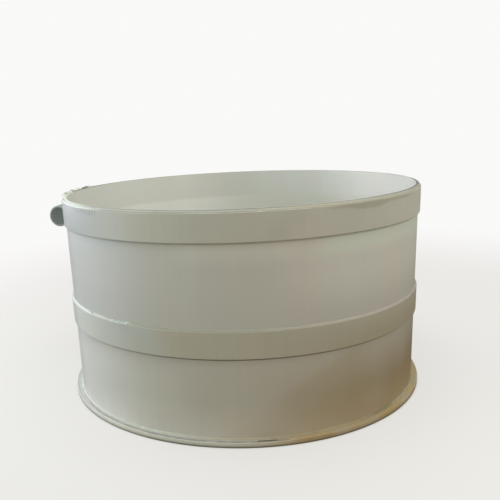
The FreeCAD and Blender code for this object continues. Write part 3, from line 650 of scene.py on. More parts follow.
top_outlines = []
for step in range(top_bead_steps + 1):
    share = step / top_bead_steps
    degrees = top_bead_start + (top_bead_end - top_bead_start) * share
    turn = math.radians(degrees)
    way = Vector((math.cos(turn), math.sin(turn), 0.0))
    fade = min(1.0, 12.0 * share, 24.0 * (1.0 - share)) ** 0.5
    swell = 0.66 + 0.35 * noise.noise(way * 40.0) + 0.30 * noise.noise(way * 95.0)
    for lump_at, lump in ((188.5, 0.45), (183.5, 0.6), (180.5, 0.5), (176.0, 0.6), (171.0, 0.5), (167.0, 0.35)):
        swell += lump * math.exp(-(((degrees - lump_at) / 0.9) ** 2))
    tall = min(1.0, max(0.25, swell)) * fade * (top_bead_box[1].z - top_bead_foot)
    wide = top_bead_width * (0.84 + 0.16 * noise.noise(way * 30.0)) * (0.4 + 0.6 * fade) / 2
    middle = shell_radius + 0.0052 + 0.0012 * noise.noise(way * 50.0)
    outline = []
    for corner in range(9):
        lean = math.pi * corner / 8
        radius = middle + wide * math.cos(lean)
        outline.append((*(way * radius).xy, top_bead_foot + tall * math.sin(lean) ** 0.7))
    top_outlines.append(outline)
top_bead = loft(top_outlines)
out_of_round(top_bead)
top_bead_finish = plastic("built_up_weld", (0.74, 0.76, 0.70), top_bead_marks, gloss=0.14)
to_piece("rim_top_bead", top_bead, top_bead_finish, "weld_bead", "rim_top_weld", crease=60.0)

# Seam welds: a flat run of weld down each joint between the two shell sheets, outside in the
# stretches that the bands leave bare, and a slimmer one inside above the filter plate.
seam_turn = math.radians(5.0)
seam_step = 0.003
inner_face = shell_radius - shell_wall


def seam_run(turn, low, high, wide, tall, face, side):
    """A low rounded bead up the wall. side is 1 outside the shell and -1 inside."""
    steps = round((high - low) / seam_step)
    outlines = []
    for step in range(steps + 1):
        height = low + (high - low) * step / steps
        fade = min(1.0, 0.15 + step / 4, 0.15 + (steps - step) / 4)
        ripple = 0.84 + 0.16 * noise.noise(Vector((turn * 9.0, side, height * 150.0)))
        outline = []
        for corner in range(9):
            lean = math.pi * corner / 8
            across = wide / 2 * math.cos(lean) * (0.90 + 0.10 * ripple)
            radius = face + side * tall * fade * ripple * math.sin(lean)
            bearing = turn + across / face
            outline.append((radius * math.cos(bearing), radius * math.sin(bearing), height))
        outlines.append(outline)
    mesh = loft(outlines)
    out_of_round(mesh)
    return mesh


def gathered(*meshes):
    """Several finished meshes as one."""
    whole = bmesh.new()
    for mesh in meshes:
        data = bpy.data.meshes.new("part")
        mesh.to_mesh(data)
        mesh.free()
        whole.from_mesh(data)
        bpy.data.meshes.remove(data)
    return whole


seam_low = plate_top + 0.0085
seam_mid = mid_band_box[1].z + 0.0085
for side_name, turn in (("right", seam_turn), ("left", math.pi - seam_turn)):
    outside_face = shell_radius + wall_gap
    outside_run = gathered(
        seam_run(turn, seam_low, mid_band_box[0].z, 0.010, 0.0024, outside_face, 1),
        seam_run(turn, seam_mid, rim_band_box[0].z, 0.010, 0.0024, outside_face, 1),
    )
    to_piece(side_name + "_seam_bead", outside_run, bead_finish, "weld_bead",
             side_name + "_seam_weld", even_shading=False)
    inside_run = seam_run(turn, 0.389, shell_top - 0.001, 0.007, 0.0004, inner_face, -1)
    to_piece(side_name + "_inner_seam_bead", inside_run, sheet_finish, "weld_bead",
             even_shading=False)

# Band joints: each band's two lengths butt together at the sides, with a weld run over the
# joint that was then planed almost flush.
for label, box, joint in (("rim", rim_band_box, rim_joint), ("mid", mid_band_box, mid_joint)):
    band_face = -box[0].y
    joint_runs = gathered(
        seam_run(joint, box[0].z + 0.001, box[1].z - 0.001, 0.008, 0.0008, band_face, 1),
        seam_run(math.pi - joint, box[0].z + 0.001, box[1].z - 0.001, 0.008, 0.0008, band_face, 1),
    )
    to_piece(label + "_band_joint_bead", joint_runs, bead_finish, "weld_bead", even_shading=False)

# Filter plate: four quarters of polypropylene sheet with 10 mm holes at 25 mm, staggered,
# lying on a ledge, a centre post and four ribs. Weld runs close the joints between them.
filter_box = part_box("filter_plate_front")
filter_radius = shell_radius - shell_wall - wall_gap
hole_radius = 0.005
hole_pitch = 0.025
hole_sides = 12
hole_inner, hole_outer = 0.072, 0.690
hole_joint = 0.020
quarter_steps = 120


def drilled(edge, holes, thickness):
    """A flat board with holes, from a closed edge and closed hole outlines."""
    mesh = bmesh.new()
    for outline in [edge, *holes]:
        corners = [mesh.verts.new((x, y, 0.0)) for x, y in outline]
        for first, second in zip(corners, corners[1:] + corners[:1]):
            mesh.edges.new((first, second))
    bmesh.ops.triangle_fill(mesh, use_beauty=False, edges=mesh.edges[:], normal=(0.0, 0.0, 1.0))
    raised = bmesh.ops.extrude_face_region(mesh, geom=mesh.faces[:])["geom"]
    lifted = [v for v in raised if isinstance(v, bmesh.types.BMVert)]
    bmesh.ops.translate(mesh, verts=lifted, vec=(0.0, 0.0, thickness))
    bmesh.ops.recalc_face_normals(mesh, faces=mesh.faces[:])
    return mesh


def round_outline(x, y, radius, sides):
    """The corners of a circle, drawn as a polygon."""
    turns = [math.tau * side / sides for side in range(sides)]
    return [(x + radius * math.cos(turn), y + radius * math.sin(turn)) for turn in turns]


def plate_hole_spots():
    """The centres of every hole in the filter plate, as (x, y)."""
    row_pitch = hole_pitch * math.sin(math.radians(60.0))
    reach = math.ceil(hole_outer / row_pitch)
    for row in range(-reach, reach + 1):
        for column in range(-reach - 1, reach + 2):
            x = (column + 0.5 * (row % 2)) * hole_pitch
            y = row * row_pitch
            if not hole_inner <= math.hypot(x, y) <= hole_outer:
                continue
            if min(abs(x - y), abs(x + y)) / math.sqrt(2.0) >= hole_joint:
                yield x, y


def filter_marks(place, colour):
    """A pale film of dried product, thickest near the wall."""
    x, y, z, radius = apart(place)
    film = rise(radius, 0.35, 0.74) * rise(cloud(place, 6.0, 4.0), 0.42, 0.62)
    return blend(0.35 * film, colour, (0.52, 0.47, 0.36))


filter_finish = plastic("filter_sheet", (0.60, 0.59, 0.53), filter_marks, gloss=0.36)
hole_spots = list(plate_hole_spots())
for side_name, middle in (("rear", 90.0), ("left", 180.0), ("front", 270.0), ("right", 0.0)):
    first = math.radians(middle - 45.0)
    facing = Vector((math.cos(math.radians(middle)), math.sin(math.radians(middle))))
    edge = [(0.0, 0.0)]
    for step in range(quarter_steps + 1):
        turn = first + math.pi / 2 * step / quarter_steps
        edge.append((filter_radius * math.cos(turn), filter_radius * math.sin(turn)))
    holes = []
    for x, y in hole_spots:
        if Vector((x, y)).normalized().dot(facing) > math.cos(math.radians(45.0)):
            holes.append(round_outline(x, y, hole_radius, hole_sides))
    quarter = drilled(edge, holes, filter_box[1].z - filter_box[0].z)
    bmesh.ops.translate(quarter, verts=quarter.verts[:], vec=(0.0, 0.0, filter_box[0].z))
    to_piece("filter_quarter_" + side_name, quarter, filter_finish, "filter_plate",
             "filter_plate_" + side_name, even_shading=False)


def flat_run(length, wide, tall):
    """A low straight bead on a level face, along X from the origin."""
    steps = round(length / seam_step)
    outlines = []
    for step in range(steps + 1):
        ripple = 0.85 + 0.15 * noise.noise(Vector((step * 0.45, length, wide)))
        outline = []
        for corner in range(7):
            lean = math.pi * corner / 6
            across = wide / 2 * math.cos(lean) * (0.9 + 0.1 * ripple)
            outline.append((length * step / steps, across, tall * ripple * math.sin(lean)))
        outlines.append(outline)
    return loft(outlines)


joint_runs = []
for quarter_turn in range(4):
    joint_run = flat_run(filter_radius - bead_leg, 0.009, 0.0018)
    turned = Matrix.Rotation(math.radians(45.0 + 90.0 * quarter_turn), 4, "Z")
    bmesh.ops.transform(joint_run, verts=joint_run.verts[:],
                        matrix=Matrix.Translation((0.0, 0.0, filter_box[1].z)) @ turned)
    joint_runs.append(joint_run)
to_piece("plate_joint_beads", gathered(*joint_runs), bead_finish, "weld_bead", even_shading=False)

# Ledge, post and ribs: sawn polypropylene under the filter plate, out of sight from outside.
# The CAD pieces are shown as they are, in a plain sheet finish of their own.
hidden_supports = ["plate_ledge", "centre_post"]
for side_name in ("rear_right", "rear_left", "front_left", "front_right"):
    hidden_supports.append("support_rib_" + side_name)
support_finish = plastic("support_sheet", (0.54, 0.53, 0.47), gloss=0.5)
for node in hidden_supports:
    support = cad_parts[node]
    support.data.materials.clear()
    support.data.materials.append(support_finish)

# Vacuum pipe: 90 mm hard PVC, dark grey. A level header beside the rim band takes the riser's
# air to the pump. It is in two lengths, solvent-welded into the tee, with sawn and eased ends.
header_lie = (
    Matrix.Rotation(math.radians(168.0), 4, "Z")
    @ Matrix.Translation((0.865, 0.0, 0.728))
    @ Matrix.Rotation(math.pi / 2, 4, "X")
)
pipe_radius, pipe_bore, socket_bore = 0.045, 0.041, 0.0453
fitting_radius = 0.0493
tee_run = 0.26445
pipe_sides = 96
pvc_tone = (0.150, 0.168, 0.176)
pipe_edge_round = 0.0006


def pvc_marks(place, colour):
    """Pale dust on top, and scuffs where the pipe was handled."""
    scuff = rise(cloud(place, 1.0, 2.0, (18.0, 60.0, 60.0)), 0.60, 0.72)
    colour = blend(0.16 * scuff, colour, (0.42, 0.43, 0.41))
    up = place.node("NewGeometry", {}, "Normal")
    dust = rise(apart(up)[2], 0.2, 1.0) * rise(cloud(place, 12.0, 3.0), 0.35, 0.62)
    return blend(0.22 * dust, colour, (0.45, 0.44, 0.40))


def tube(lie, outline, sides=pipe_sides):
    """A tube with a bore, from a closed outline of (radius, distance along its axis)."""
    outlines = []
    for side in range(sides):
        turn = math.tau * side / sides
        outlines.append([lie @ Vector((r * math.cos(turn), r * math.sin(turn), along))
                         for r, along in outline])
    return loft(outlines, joined=True)


def pipe(lie, start, end, radius=pipe_radius, bore=pipe_bore):
    """A plain length of pipe with eased ends."""
    mesh = tube(lie, [(bore, start), (radius, start), (radius, end), (bore, end)])
    round_edges(mesh, pipe_edge_round)
    return mesh


pvc_finish = plastic("grey_plastic", pvc_tone, pvc_marks, gloss=0.33, run_marks=0.0, peel=0.00003)
to_piece("header_pipe_front", pipe(header_lie, -0.022, 0.21445), pvc_finish, "grey_pvc",
         "header_front_pipe")
to_piece("header_pipe_rear", pipe(header_lie, 0.31445, 0.42146), pvc_finish, "grey_pvc",
         "header_rear_pipe")

# End cap: a moulded PVC cap, glued on the header's front end. Its edge is well rounded and its
# face has a shallow recess with the moulding's gate mark in the middle.
cap_front = -0.028
cap_edge = 0.0045
cap_outline = [
    (0.0, cap_front + 0.0008), (0.0035, cap_front + 0.0004), (0.0045, cap_front + 0.0012),
    (0.0330, cap_front + 0.0012), (0.0355, cap_front),
]
for step in range(7):
    lean = math.pi / 2 * step / 6
    cap_outline.append((fitting_radius - cap_edge + cap_edge * math.sin(lean),
                        cap_front + cap_edge - cap_edge * math.cos(lean)))
cap_outline += [
    (fitting_radius, 0.0158), (fitting_radius - 0.0012, 0.017), (socket_bore, 0.017),
    (socket_bore, cap_front + 0.006), (0.0, cap_front + 0.006),
]
cap_middle = header_lie @ Vector((0.0, 0.0, cap_front))


def cap_marks(place, colour):
    """Dust and scuffs, a painted highlight round the cap's rounded edge, and a darker recess."""
    colour = pvc_marks(place, colour)
    reach = place.node("VectorMath", {0: place, 1: cap_middle}, "Value", operation="DISTANCE")
    # Painted highlight round the cap's rounded edge.
    rubbed = rise(reach, 0.0395, 0.0435) * rise(reach, 0.0520, 0.0495)
    colour = blend(0.80 * rubbed, colour, (0.42, 0.46, 0.44))
    return blend(0.25 * rise(reach, 0.0345, 0.0325), colour, (0.10, 0.115, 0.12))


cap_finish = plastic("cap_plastic", pvc_tone, cap_marks, gloss=0.30, run_marks=0.0, peel=0.00003)
to_piece("header_cap", tube(header_lie, cap_outline), cap_finish, "grey_pvc", "header_end_cap")

# Coupling: a moulded PVC sleeve at the header's rear end, with an open socket for the pipe
# that goes on to the pump. A thicker collar runs round each mouth.
collar_long = 0.011
collar_step = 0.0014


def socket_profile(start, end, radius, deep_start, deep_end):
    """A sleeve with a collar at each mouth and a socket of its own depth in each end."""
    slim = radius - collar_step
    return [
        (socket_bore, start), (radius, start), (radius, start + collar_long),
        (slim, start + collar_long + 0.002), (slim, end - collar_long - 0.002),
        (radius, end - collar_long), (radius, end), (socket_bore, end),
        (socket_bore, end - deep_end), (pipe_bore, end - deep_end),
        (pipe_bore, start + deep_start), (socket_bore, start + deep_start),
    ]


coupling_mesh = tube(header_lie, socket_profile(0.37946, 0.46946, fitting_radius, 0.042, 0.042))
round_edges(coupling_mesh, pipe_edge_round)
to_piece("header_sleeve", coupling_mesh, pvc_finish, "grey_pvc", "header_coupling")

# Tee: a moulded PVC tee that joins the riser to the header from below. Barrel and branch are
# solid rods joined together, then bored and given their sockets. Branch and bores are turned by
# part of a side, so that their edges cross cleanly.
tee_reach, socket_deep = 0.080, 0.030
tee_barrel_radius = fitting_radius + 0.0012
part_side = math.pi / pipe_sides
branch_lie = (
    header_lie
    @ Matrix.Translation((0.0, 0.0, tee_run))
    @ Matrix.Rotation(math.pi / 2, 4, "X")
    @ Matrix.Rotation(part_side, 4, "Z")
)
bore_lie = header_lie @ Matrix.Rotation(part_side / 2, 4, "Z")


def rod(lie, outline):
    """A solid turned piece, from (radius, distance along) corners between its two ends."""
    ends = [(0.0, outline[-1][1]), (0.0, outline[0][1])]
    mesh = tube(lie, outline + ends)
    bmesh.ops.delete(mesh, geom=[e for e in mesh.edges if e.is_wire], context="EDGES")
    return mesh


def collared_rod(lie, start, end, radius, collars):
    """A solid rod with a thicker collar at the named ends, 'start' or 'end'."""
    slim = radius - collar_step
    outline = [(slim, start)]
    if "start" in collars:
        outline = [(radius, start), (radius, start + collar_long), (slim, start + collar_long + 0.002)]
    if "end" in collars:
        outline += [(slim, end - collar_long - 0.002), (radius, end - collar_long), (radius, end)]
    else:
        outline.append((slim, end))
    mesh = rod(lie, outline)
    round_edges(mesh, pipe_edge_round)
    return mesh


def as_tool(mesh):
    """A mesh as a plain object, for joining to or cutting from a piece."""
    data = bpy.data.meshes.new("tool")
    mesh.to_mesh(data)
    mesh.free()
    return bpy.data.objects.new("tool", data)


def plug(lie, radius, start, end):
    """A cutting cylinder along lie's Z axis, from start to end."""
    mesh = bmesh.new()
    middle = Matrix.Translation((0.0, 0.0, (start + end) / 2))
    bmesh.ops.create_cone(mesh, cap_ends=True, segments=pipe_sides, radius1=radius, radius2=radius,
                          depth=end - start, matrix=lie @ middle)
    return as_tool(mesh)


tee_start, tee_end = tee_run - tee_reach, tee_run + tee_reach
tee = to_piece(
    "riser_tee", collared_rod(header_lie, tee_start, tee_end, tee_barrel_radius, ("start", "end")),
    pvc_finish, "grey_pvc", "vacuum_tee", even_shading=False,
)
branch = as_tool(collared_rod(branch_lie, 0.002, tee_reach, fitting_radius, ("end",)))
cut_away(tee, branch, operation="UNION")
cut_away(
    tee,
    plug(bore_lie, pipe_bore, tee_start - 0.01, tee_end + 0.01),
    plug(bore_lie, socket_bore, tee_start - 0.01, tee_start + socket_deep),
    plug(bore_lie, socket_bore, tee_end - socket_deep, tee_end + 0.01),
    plug(branch_lie, pipe_bore - 0.0012, 0.0, tee_reach + 0.01),
    plug(branch_lie, socket_bore, tee_reach - socket_deep, tee_reach + 0.01),
)
tee.data.set_sharp_from_angle(angle=math.radians(30.0))

# Riser, elbow and nozzle: the same PVC pipe stands between the tee and a moulded elbow, and
# a short stub goes from the elbow through the shell into the lower chamber.
riser_frame = Matrix.Rotation(riser_turn, 4, "Z")
riser_radius = 0.9045
bend_radius = 0.050
bend_steps = 10
riser_lie = riser_frame @ Matrix.Translation((riser_radius, 0.0, 0.0))
nozzle_lie = (
    riser_frame @ Matrix.Translation((0.0, 0.0, vacuum_height)) @ Matrix.Rotation(math.pi / 2, 4, "Y")
)
to_piece("riser_pipe", pipe(riser_lie, 0.300, 0.678), pvc_finish, "grey_pvc", "vacuum_riser")
to_piece("nozzle_stub", pipe(nozzle_lie, 0.730, 0.8545), pvc_finish, "grey_pvc", "vacuum_nozzle")


def bend_place(turn, beyond):
    """A point on the elbow's centre line: some of the turn, or so far along a leg."""
    return (
        riser_frame
        @ Matrix.Translation((riser_radius - bend_radius, 0.0, vacuum_height + bend_radius))
        @ Matrix.Rotation(turn, 4, "Y")
        @ Matrix.Translation((bend_radius, 0.0, beyond))
    )


elbow_slim = fitting_radius - collar_step
leg = tee_reach - bend_radius
quarter = math.pi / 2
bends = [quarter * step / bend_steps for step in range(bend_steps + 1)]
hoops = [(bend_place(0.0, leg), fitting_radius), (bend_place(0.0, leg - collar_long), fitting_radius),
         (bend_place(0.0, leg - collar_long - 0.002), elbow_slim)]
hoops += [(bend_place(turn, 0.0), elbow_slim) for turn in bends]
hoops += [(bend_place(quarter, collar_long + 0.002 - leg), elbow_slim),
          (bend_place(quarter, collar_long - leg), fitting_radius),
          (bend_place(quarter, -leg), fitting_radius), (bend_place(quarter, -leg), socket_bore),
          (bend_place(quarter, 0.0), socket_bore)]
hoops += [(bend_place(turn, 0.0), pipe_bore) for turn in reversed(bends)]
hoops += [(bend_place(0.0, 0.0), socket_bore), (bend_place(0.0, leg), socket_bore)]
elbow_outlines = []
for side in range(pipe_sides):
    turn = math.tau * side / pipe_sides
    spot = Vector((math.cos(turn), math.sin(turn), 0.0))
    elbow_outlines.append([place @ (spot * radius) for place, radius in hoops])
elbow_mesh = loft(elbow_outlines, joined=True)
to_piece("riser_elbow", elbow_mesh, pvc_finish, "grey_pvc", "vacuum_elbow")

# Glue rings: a thin squeezed-out ring of solvent cement, a little darker, at each socket mouth.
glue_finish = plastic("solvent_cement", (0.085, 0.10, 0.10), gloss=0.2, run_marks=0.0)
glue_rings = []
for lie, along in (
    (header_lie, 0.0175), (header_lie, tee_start - 0.0004), (header_lie, tee_end + 0.0004),
    (header_lie, 0.37906), (riser_lie, 0.6476), (riser_lie, 0.3304), (nozzle_lie, 0.8241),
):
    glue = tube(lie, [(pipe_radius + 0.0016 * math.cos(a), along + 0.0009 * math.sin(a))
                      for a in (math.tau * n / 8 for n in range(8))])
    glue_rings.append(glue)
to_piece("glue_rings", gathered(*glue_rings), glue_finish, "grey_pvc", even_shading=False)

# Nozzle pads: thick discs, hollowed to the shell and welded round, that stiffen the wall where
# a nozzle goes through it. One for the riser's nozzle and one for the drain.
outside_face = shell_radius + wall_gap
pad_face = 0.762
pad_edge = 0.0022


def seat(mesh):
    """Draw back to the shell's face whatever is inside it. X must point out of the tank."""
    for vertex in mesh.verts:
        if vertex.co.xy.length < outside_face:
            vertex.co.x = math.sqrt(outside_face ** 2 - vertex.co.y ** 2)


def corner_bead(lie, corner_radius, face, leg, curved):
    """A fillet weld round a nozzle, on the curved shell or on a flat face, in lie's frame."""
    outline = [(r, face + h) for r, h in fillet(corner_radius, 0.0, leg, leg, 0.0008)]
    mesh = tube(lie, outline, 180)
    for vertex in mesh.verts:
        if curved:
            vertex.co.x += math.sqrt(outside_face ** 2 - vertex.co.y ** 2) - outside_face
        vertex.co += vertex.normal * 0.0007 * noise.noise(vertex.co * 90.0)
    return mesh


def lying(height):
    """Along X, out of the tank, at a height, before the turn about the tank's axis."""
    return Matrix.Translation((0.0, 0.0, height)) @ Matrix.Rotation(math.pi / 2, 4, "Y")


def turn_to(mesh, turn):
    """Turn a piece made facing +X to where it belongs on the tank."""
    bmesh.ops.rotate(mesh, verts=mesh.verts[:], matrix=Matrix.Rotation(turn, 3, "Z"))
    return mesh


drain_turn = math.pi / 2
drain_radius, drain_bore = 0.0315, 0.027
for label, node, turn, height, radius, stub in (
    ("vacuum_pad_disc", "vacuum_nozzle_pad", riser_turn, vacuum_height, 0.075, pipe_radius),
    ("drain_pad_disc", "drain_nozzle_pad", drain_turn, drain_height, 0.055, drain_radius),
):
    bore = stub + wall_gap
    disc = tube(lying(height), [(bore, 0.735), (radius, 0.735), (radius, pad_face), (bore, pad_face)])
    seat(disc)
    round_edges(disc, pad_edge)
    to_piece(label, turn_to(disc, turn), base_finish, "fabricated_sheet", node)
    rings = gathered(
        corner_bead(lying(height), radius, outside_face, 0.006, True),
        corner_bead(lying(height), stub, pad_face, 0.005, False),
    )
    to_piece(label + "_beads", turn_to(rings, turn), bead_finish, "weld_bead", even_shading=False)

# Pipe brackets: boards sawn from thick sheet, with a cradle for the pipe, welded to the shell
# on both faces. Two stand on edge under the header and one lies flat behind the riser.
board_thickness = 0.015
board_edge = 0.0009
bracket_half = 0.0713
header_height, header_distance = 0.728, 0.865
cradle_steps = 28


def board(outline, lie):
    """A sawn board from a closed outline, with eased edges."""
    mesh = bmesh.new()
    mesh.faces.new([mesh.verts.new((x, y, -board_thickness / 2)) for x, y in outline])
    raised = bmesh.ops.extrude_face_region(mesh, geom=mesh.faces[:])["geom"]
    lifted = [v for v in raised if isinstance(v, bmesh.types.BMVert)]
    bmesh.ops.translate(mesh, verts=lifted, vec=(0.0, 0.0, board_thickness))
    bmesh.ops.recalc_face_normals(mesh, faces=mesh.faces[:])
    bmesh.ops.transform(mesh, verts=mesh.verts[:], matrix=lie)
    seat(mesh)
    round_edges(mesh, board_edge)
    return mesh


def arc(x, y, radius, first, last):
    """Points on a circle from one angle to another, in degrees."""
    points = []
    for step in range(cradle_steps + 1):
        turn = math.radians(first + (last - first) * step / cradle_steps)
        points.append((x + radius * math.cos(turn), y + radius * math.sin(turn)))
    return points


def edge_bead(points, away, leg=0.006):
    """A fillet weld along points on the shell, in the corner with a board's face."""
    outlines = []
    for point in points:
        out = Vector((point.x, point.y, 0.0)).normalized()
        size = leg * (0.88 + 0.2 * noise.noise(point * 90.0))
        middle = (out + away).normalized() * size * 0.80
        outlines.append([point, point + away * size, point + middle, point + out * size])
    mesh = loft(outlines)
    return mesh


header_turn = math.radians(168.0)
front_bracket_run, rear_bracket_run = 0.16695, 0.36195
header_outline = [
    (0.60, header_height), (0.60, header_height - 0.150), (0.750, header_height - 0.150),
    (header_distance + bracket_half, header_height - fitting_radius - 0.014),
    (header_distance + bracket_half, header_height),
]
header_outline += arc(header_distance, header_height, socket_bore, 0.0, -180.0)
bracket_parts = (
    ("front", front_bracket_run), ("rear", rear_bracket_run),
)
for side_name, run in bracket_parts:
    stand = Matrix.Translation((0.0, -run, 0.0)) @ Matrix.Rotation(math.pi / 2, 4, "X")
    bracket = turn_to(board(header_outline, stand), header_turn)
    to_piece(f"header_{side_name}_gusset", bracket, base_finish, "fabricated_sheet",
             f"header_{side_name}_bracket")
    runs = []
    for way in (-1.0, 1.0):
        y = -run + way * board_thickness / 2
        x = math.sqrt(outside_face ** 2 - y ** 2)
        spots = [Vector((x, y, header_height - 0.148 + 0.146 * n / 48)) for n in range(49)]
        runs.append(edge_bead(spots, Vector((0.0, way, 0.0))))
    to_piece(f"header_{side_name}_gusset_beads", turn_to(gathered(*runs), header_turn),
             bead_finish, "weld_bead", even_shading=False)

shelf_height = 0.480
shelf_outline = [(0.60 + 0.0 * n, bracket_half - 2 * bracket_half * n / 16) for n in range(17)]
shelf_outline += [(riser_radius, -bracket_half)]
shelf_outline += arc(riser_radius, 0.0, socket_bore, -90.0, -270.0)
shelf_outline += [(riser_radius, bracket_half)]
shelf = board(shelf_outline, Matrix.Translation((0.0, 0.0, shelf_height)))
to_piece("riser_shelf", turn_to(shelf, riser_turn), base_finish, "fabricated_sheet", "riser_bracket")
runs = []
for way in (-1.0, 1.0):
    spots = []
    for n in range(45):
        y = bracket_half * (n / 22 - 1.0)
        spots.append(Vector((math.sqrt(outside_face ** 2 - y ** 2), y,
                             shelf_height + way * board_thickness / 2)))
    runs.append(edge_bead(spots, Vector((0.0, 0.0, way))))
to_piece("riser_shelf_beads", turn_to(gathered(*runs), riser_turn), bead_finish, "weld_bead",
         even_shading=False)

# Straps: half rings bent from natural polypropylene strip, with a flat ear at each side, that
# hold the pipe in its cradle. Each ear is screwed down by a stainless hexagon screw on a washer.
strap_thickness = 0.006
hoop_radius = socket_bore + strap_thickness
ear_meet = math.degrees(math.asin(strap_thickness / hoop_radius))
strap_outline = [(bracket_half, 0.0), (bracket_half, strap_thickness)]
strap_outline += arc(0.0, 0.0, hoop_radius, ear_meet, 180.0 - ear_meet)
strap_outline += [(-bracket_half, strap_thickness), (-bracket_half, 0.0)]
strap_outline += arc(0.0, 0.0, socket_bore, 180.0, 0.0)
screw_spread = (bracket_half + hoop_radius) / 2
washer_radius, washer_thickness = 0.0065, 0.0014
head_radius, head_tall = 0.0055, 0.0040
strap_finish = plastic("strap_strip", (0.58, 0.585, 0.55), gloss=0.4)

steel_finish, steel_place = new_material("stainless_steel")
close_material(
    steel_finish, (0.56, 0.56, 0.55, 1.0),
    0.26 + 0.20 * cloud(steel_place, 300.0, 2.0), cloud(steel_place, 500.0), 0.00003, Metallic=1.0,
)


def screw(lie):
    """A hexagon screw head on a washer, standing on lie's XY plane."""
    mesh = bmesh.new()
    washer = Matrix.Translation((0.0, 0.0, washer_thickness / 2))
    bmesh.ops.create_cone(mesh, cap_ends=True, segments=32, radius1=washer_radius,
                          radius2=washer_radius, depth=washer_thickness, matrix=washer)
    head = Matrix.Translation((0.0, 0.0, washer_thickness + head_tall / 2))
    bmesh.ops.create_cone(mesh, cap_ends=True, segments=6, radius1=head_radius,
                          radius2=head_radius, depth=head_tall, matrix=head)
    round_edges(mesh, 0.00035)
    bmesh.ops.transform(mesh, verts=mesh.verts[:], matrix=lie)
    return mesh


strap_parts = (
    ("header_front_saddle", "header_front_strap",
     header_lie @ Matrix.Translation((0.0, 0.0, front_bracket_run))),
    ("header_rear_saddle", "header_rear_strap",
     header_lie @ Matrix.Translation((0.0, 0.0, rear_bracket_run))),
    ("riser_saddle", "riser_strap",
     riser_lie @ Matrix.Translation((0.0, 0.0, shelf_height)) @ Matrix.Rotation(-math.pi / 2, 4, "Z")),
)
for label, node, lie in strap_parts:
    mesh = bmesh.new()
    mesh.faces.new([mesh.verts.new((x, y, -board_thickness / 2)) for x, y in strap_outline])
    raised = bmesh.ops.extrude_face_region(mesh, geom=mesh.faces[:])["geom"]
    lifted = [v for v in raised if isinstance(v, bmesh.types.BMVert)]
    bmesh.ops.translate(mesh, verts=lifted, vec=(0.0, 0.0, board_thickness))
    bmesh.ops.recalc_face_normals(mesh, faces=mesh.faces[:])
    round_edges(mesh, 0.0007)
    bmesh.ops.transform(mesh, verts=mesh.verts[:], matrix=lie)
    to_piece(label, mesh, strap_finish, "pipe_strap", node)
    screws = []
    for way in (-1.0, 1.0):
        on_ear = Matrix.Translation((way * screw_spread, strap_thickness, 0.0))
        screws.append(screw(lie @ on_ear @ Matrix.Rotation(-math.pi / 2, 4, "X")))
    to_piece(label + "_screws", gathered(*screws), steel_finish, None)

# Drain: a polypropylene pipe stub out of the lower chamber at the back, with a turned flange
# welded on its end. The four bolt holes are left empty, for the pipe that leads away.
flange_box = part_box("drain_flange")
flange_face, flange_back = flange_box[1].y, flange_box[0].y
flange_radius, flange_hole = 0.0825, 0.009
bolt_circle = 0.125 / 2
drain_lie = turn_matrix = Matrix.Rotation(drain_turn, 4, "Z") @ lying(drain_height)
stub_mesh = pipe(drain_lie, 0.730, flange_face, drain_radius, drain_bore)
to_piece("drain_stub", stub_mesh, base_finish, "natural_sheet", "drain_nozzle")
bolt_holes = [round_outline(0.0, 0.0, drain_radius + wall_gap, 72)]
for quarter_turn in range(4):
    turn = math.radians(45.0 + 90.0 * quarter_turn)
    bolt_holes.append(round_outline(bolt_circle * math.cos(turn), bolt_circle * math.sin(turn),
                                    flange_hole, 40))
flange_mesh = drilled(round_outline(0.0, 0.0, flange_radius, 144), bolt_holes,
                      flange_face - flange_back)
round_edges(flange_mesh, 0.0010)
bmesh.ops.transform(flange_mesh, verts=flange_mesh.verts[:],
                    matrix=drain_lie @ Matrix.Translation((0.0, 0.0, flange_back)))
to_piece("drain_flange_disc", flange_mesh, base_finish, "fabricated_sheet", "drain_flange")
flange_bead = tube(drain_lie, [(r, flange_back - h) for r, h in fillet(drain_radius, 0.0, 0.006, 0.006)],
                   144)
for vertex in flange_bead.verts:
    vertex.co += vertex.normal * 0.0006 * noise.noise(vertex.co * 95.0)
to_piece("drain_flange_bead", flange_bead, bead_finish, "weld_bead", even_shading=False)

scene = bpy.context.scene

# Floor, lights and camera.
floor_mesh = bmesh.new()
bmesh.ops.create_circle(floor_mesh, cap_ends=True, segments=96, radius=7.0)
bmesh.ops.translate(floor_mesh, verts=floor_mesh.verts[:], vec=(0.0, 0.0, -0.0005))
floor_data = bpy.data.meshes.new("floor")
floor_mesh.to_mesh(floor_data)
floor_mesh.free()
floor = bpy.data.objects.new("floor", floor_data)
scene.collection.objects.link(floor)
floor_paint = bpy.data.materials.new("pale_floor")
floor_paint.use_nodes = True
floor_tree = floor_paint.node_tree
floor_tree.nodes.remove(floor_tree.nodes["Principled BSDF"])
start = Paint(floor_tree)
spot = start.node("TexCoord", {}, "Object")
reach = apart(spot)[3]
seen = start.node("LightPath", {}, "Is Camera Ray")
pale = start.node("BsdfDiffuse", {"Color": (0.74, 0.73, 0.71, 1.0)})
glow_tone = blend(rise(apart(spot)[0], -0.2, 1.2), (0.84, 0.825, 0.80), (0.92, 0.905, 0.88))
glow = start.node("Emission", {"Color": glow_tone})
pale = start.node("MixShader", {0: 0.72 * rise(reach, 0.770, 0.787), 1: pale, 2: glow})
bounce = start.node("BsdfDiffuse", {"Color": (0.30, 0.26, 0.20, 1.0)})
clear = start.node("BsdfTransparent", {})
ground = start.node("MixShader", {0: seen, 1: bounce, 2: pale})
ground = start.node("MixShader", {0: rise(reach, 1.6, 4.2), 1: ground, 2: clear})
floor_tree.links.new(ground.outlet, floor_tree.nodes["Material Output"].inputs["Surface"])
floor_data.materials.append(floor_paint)

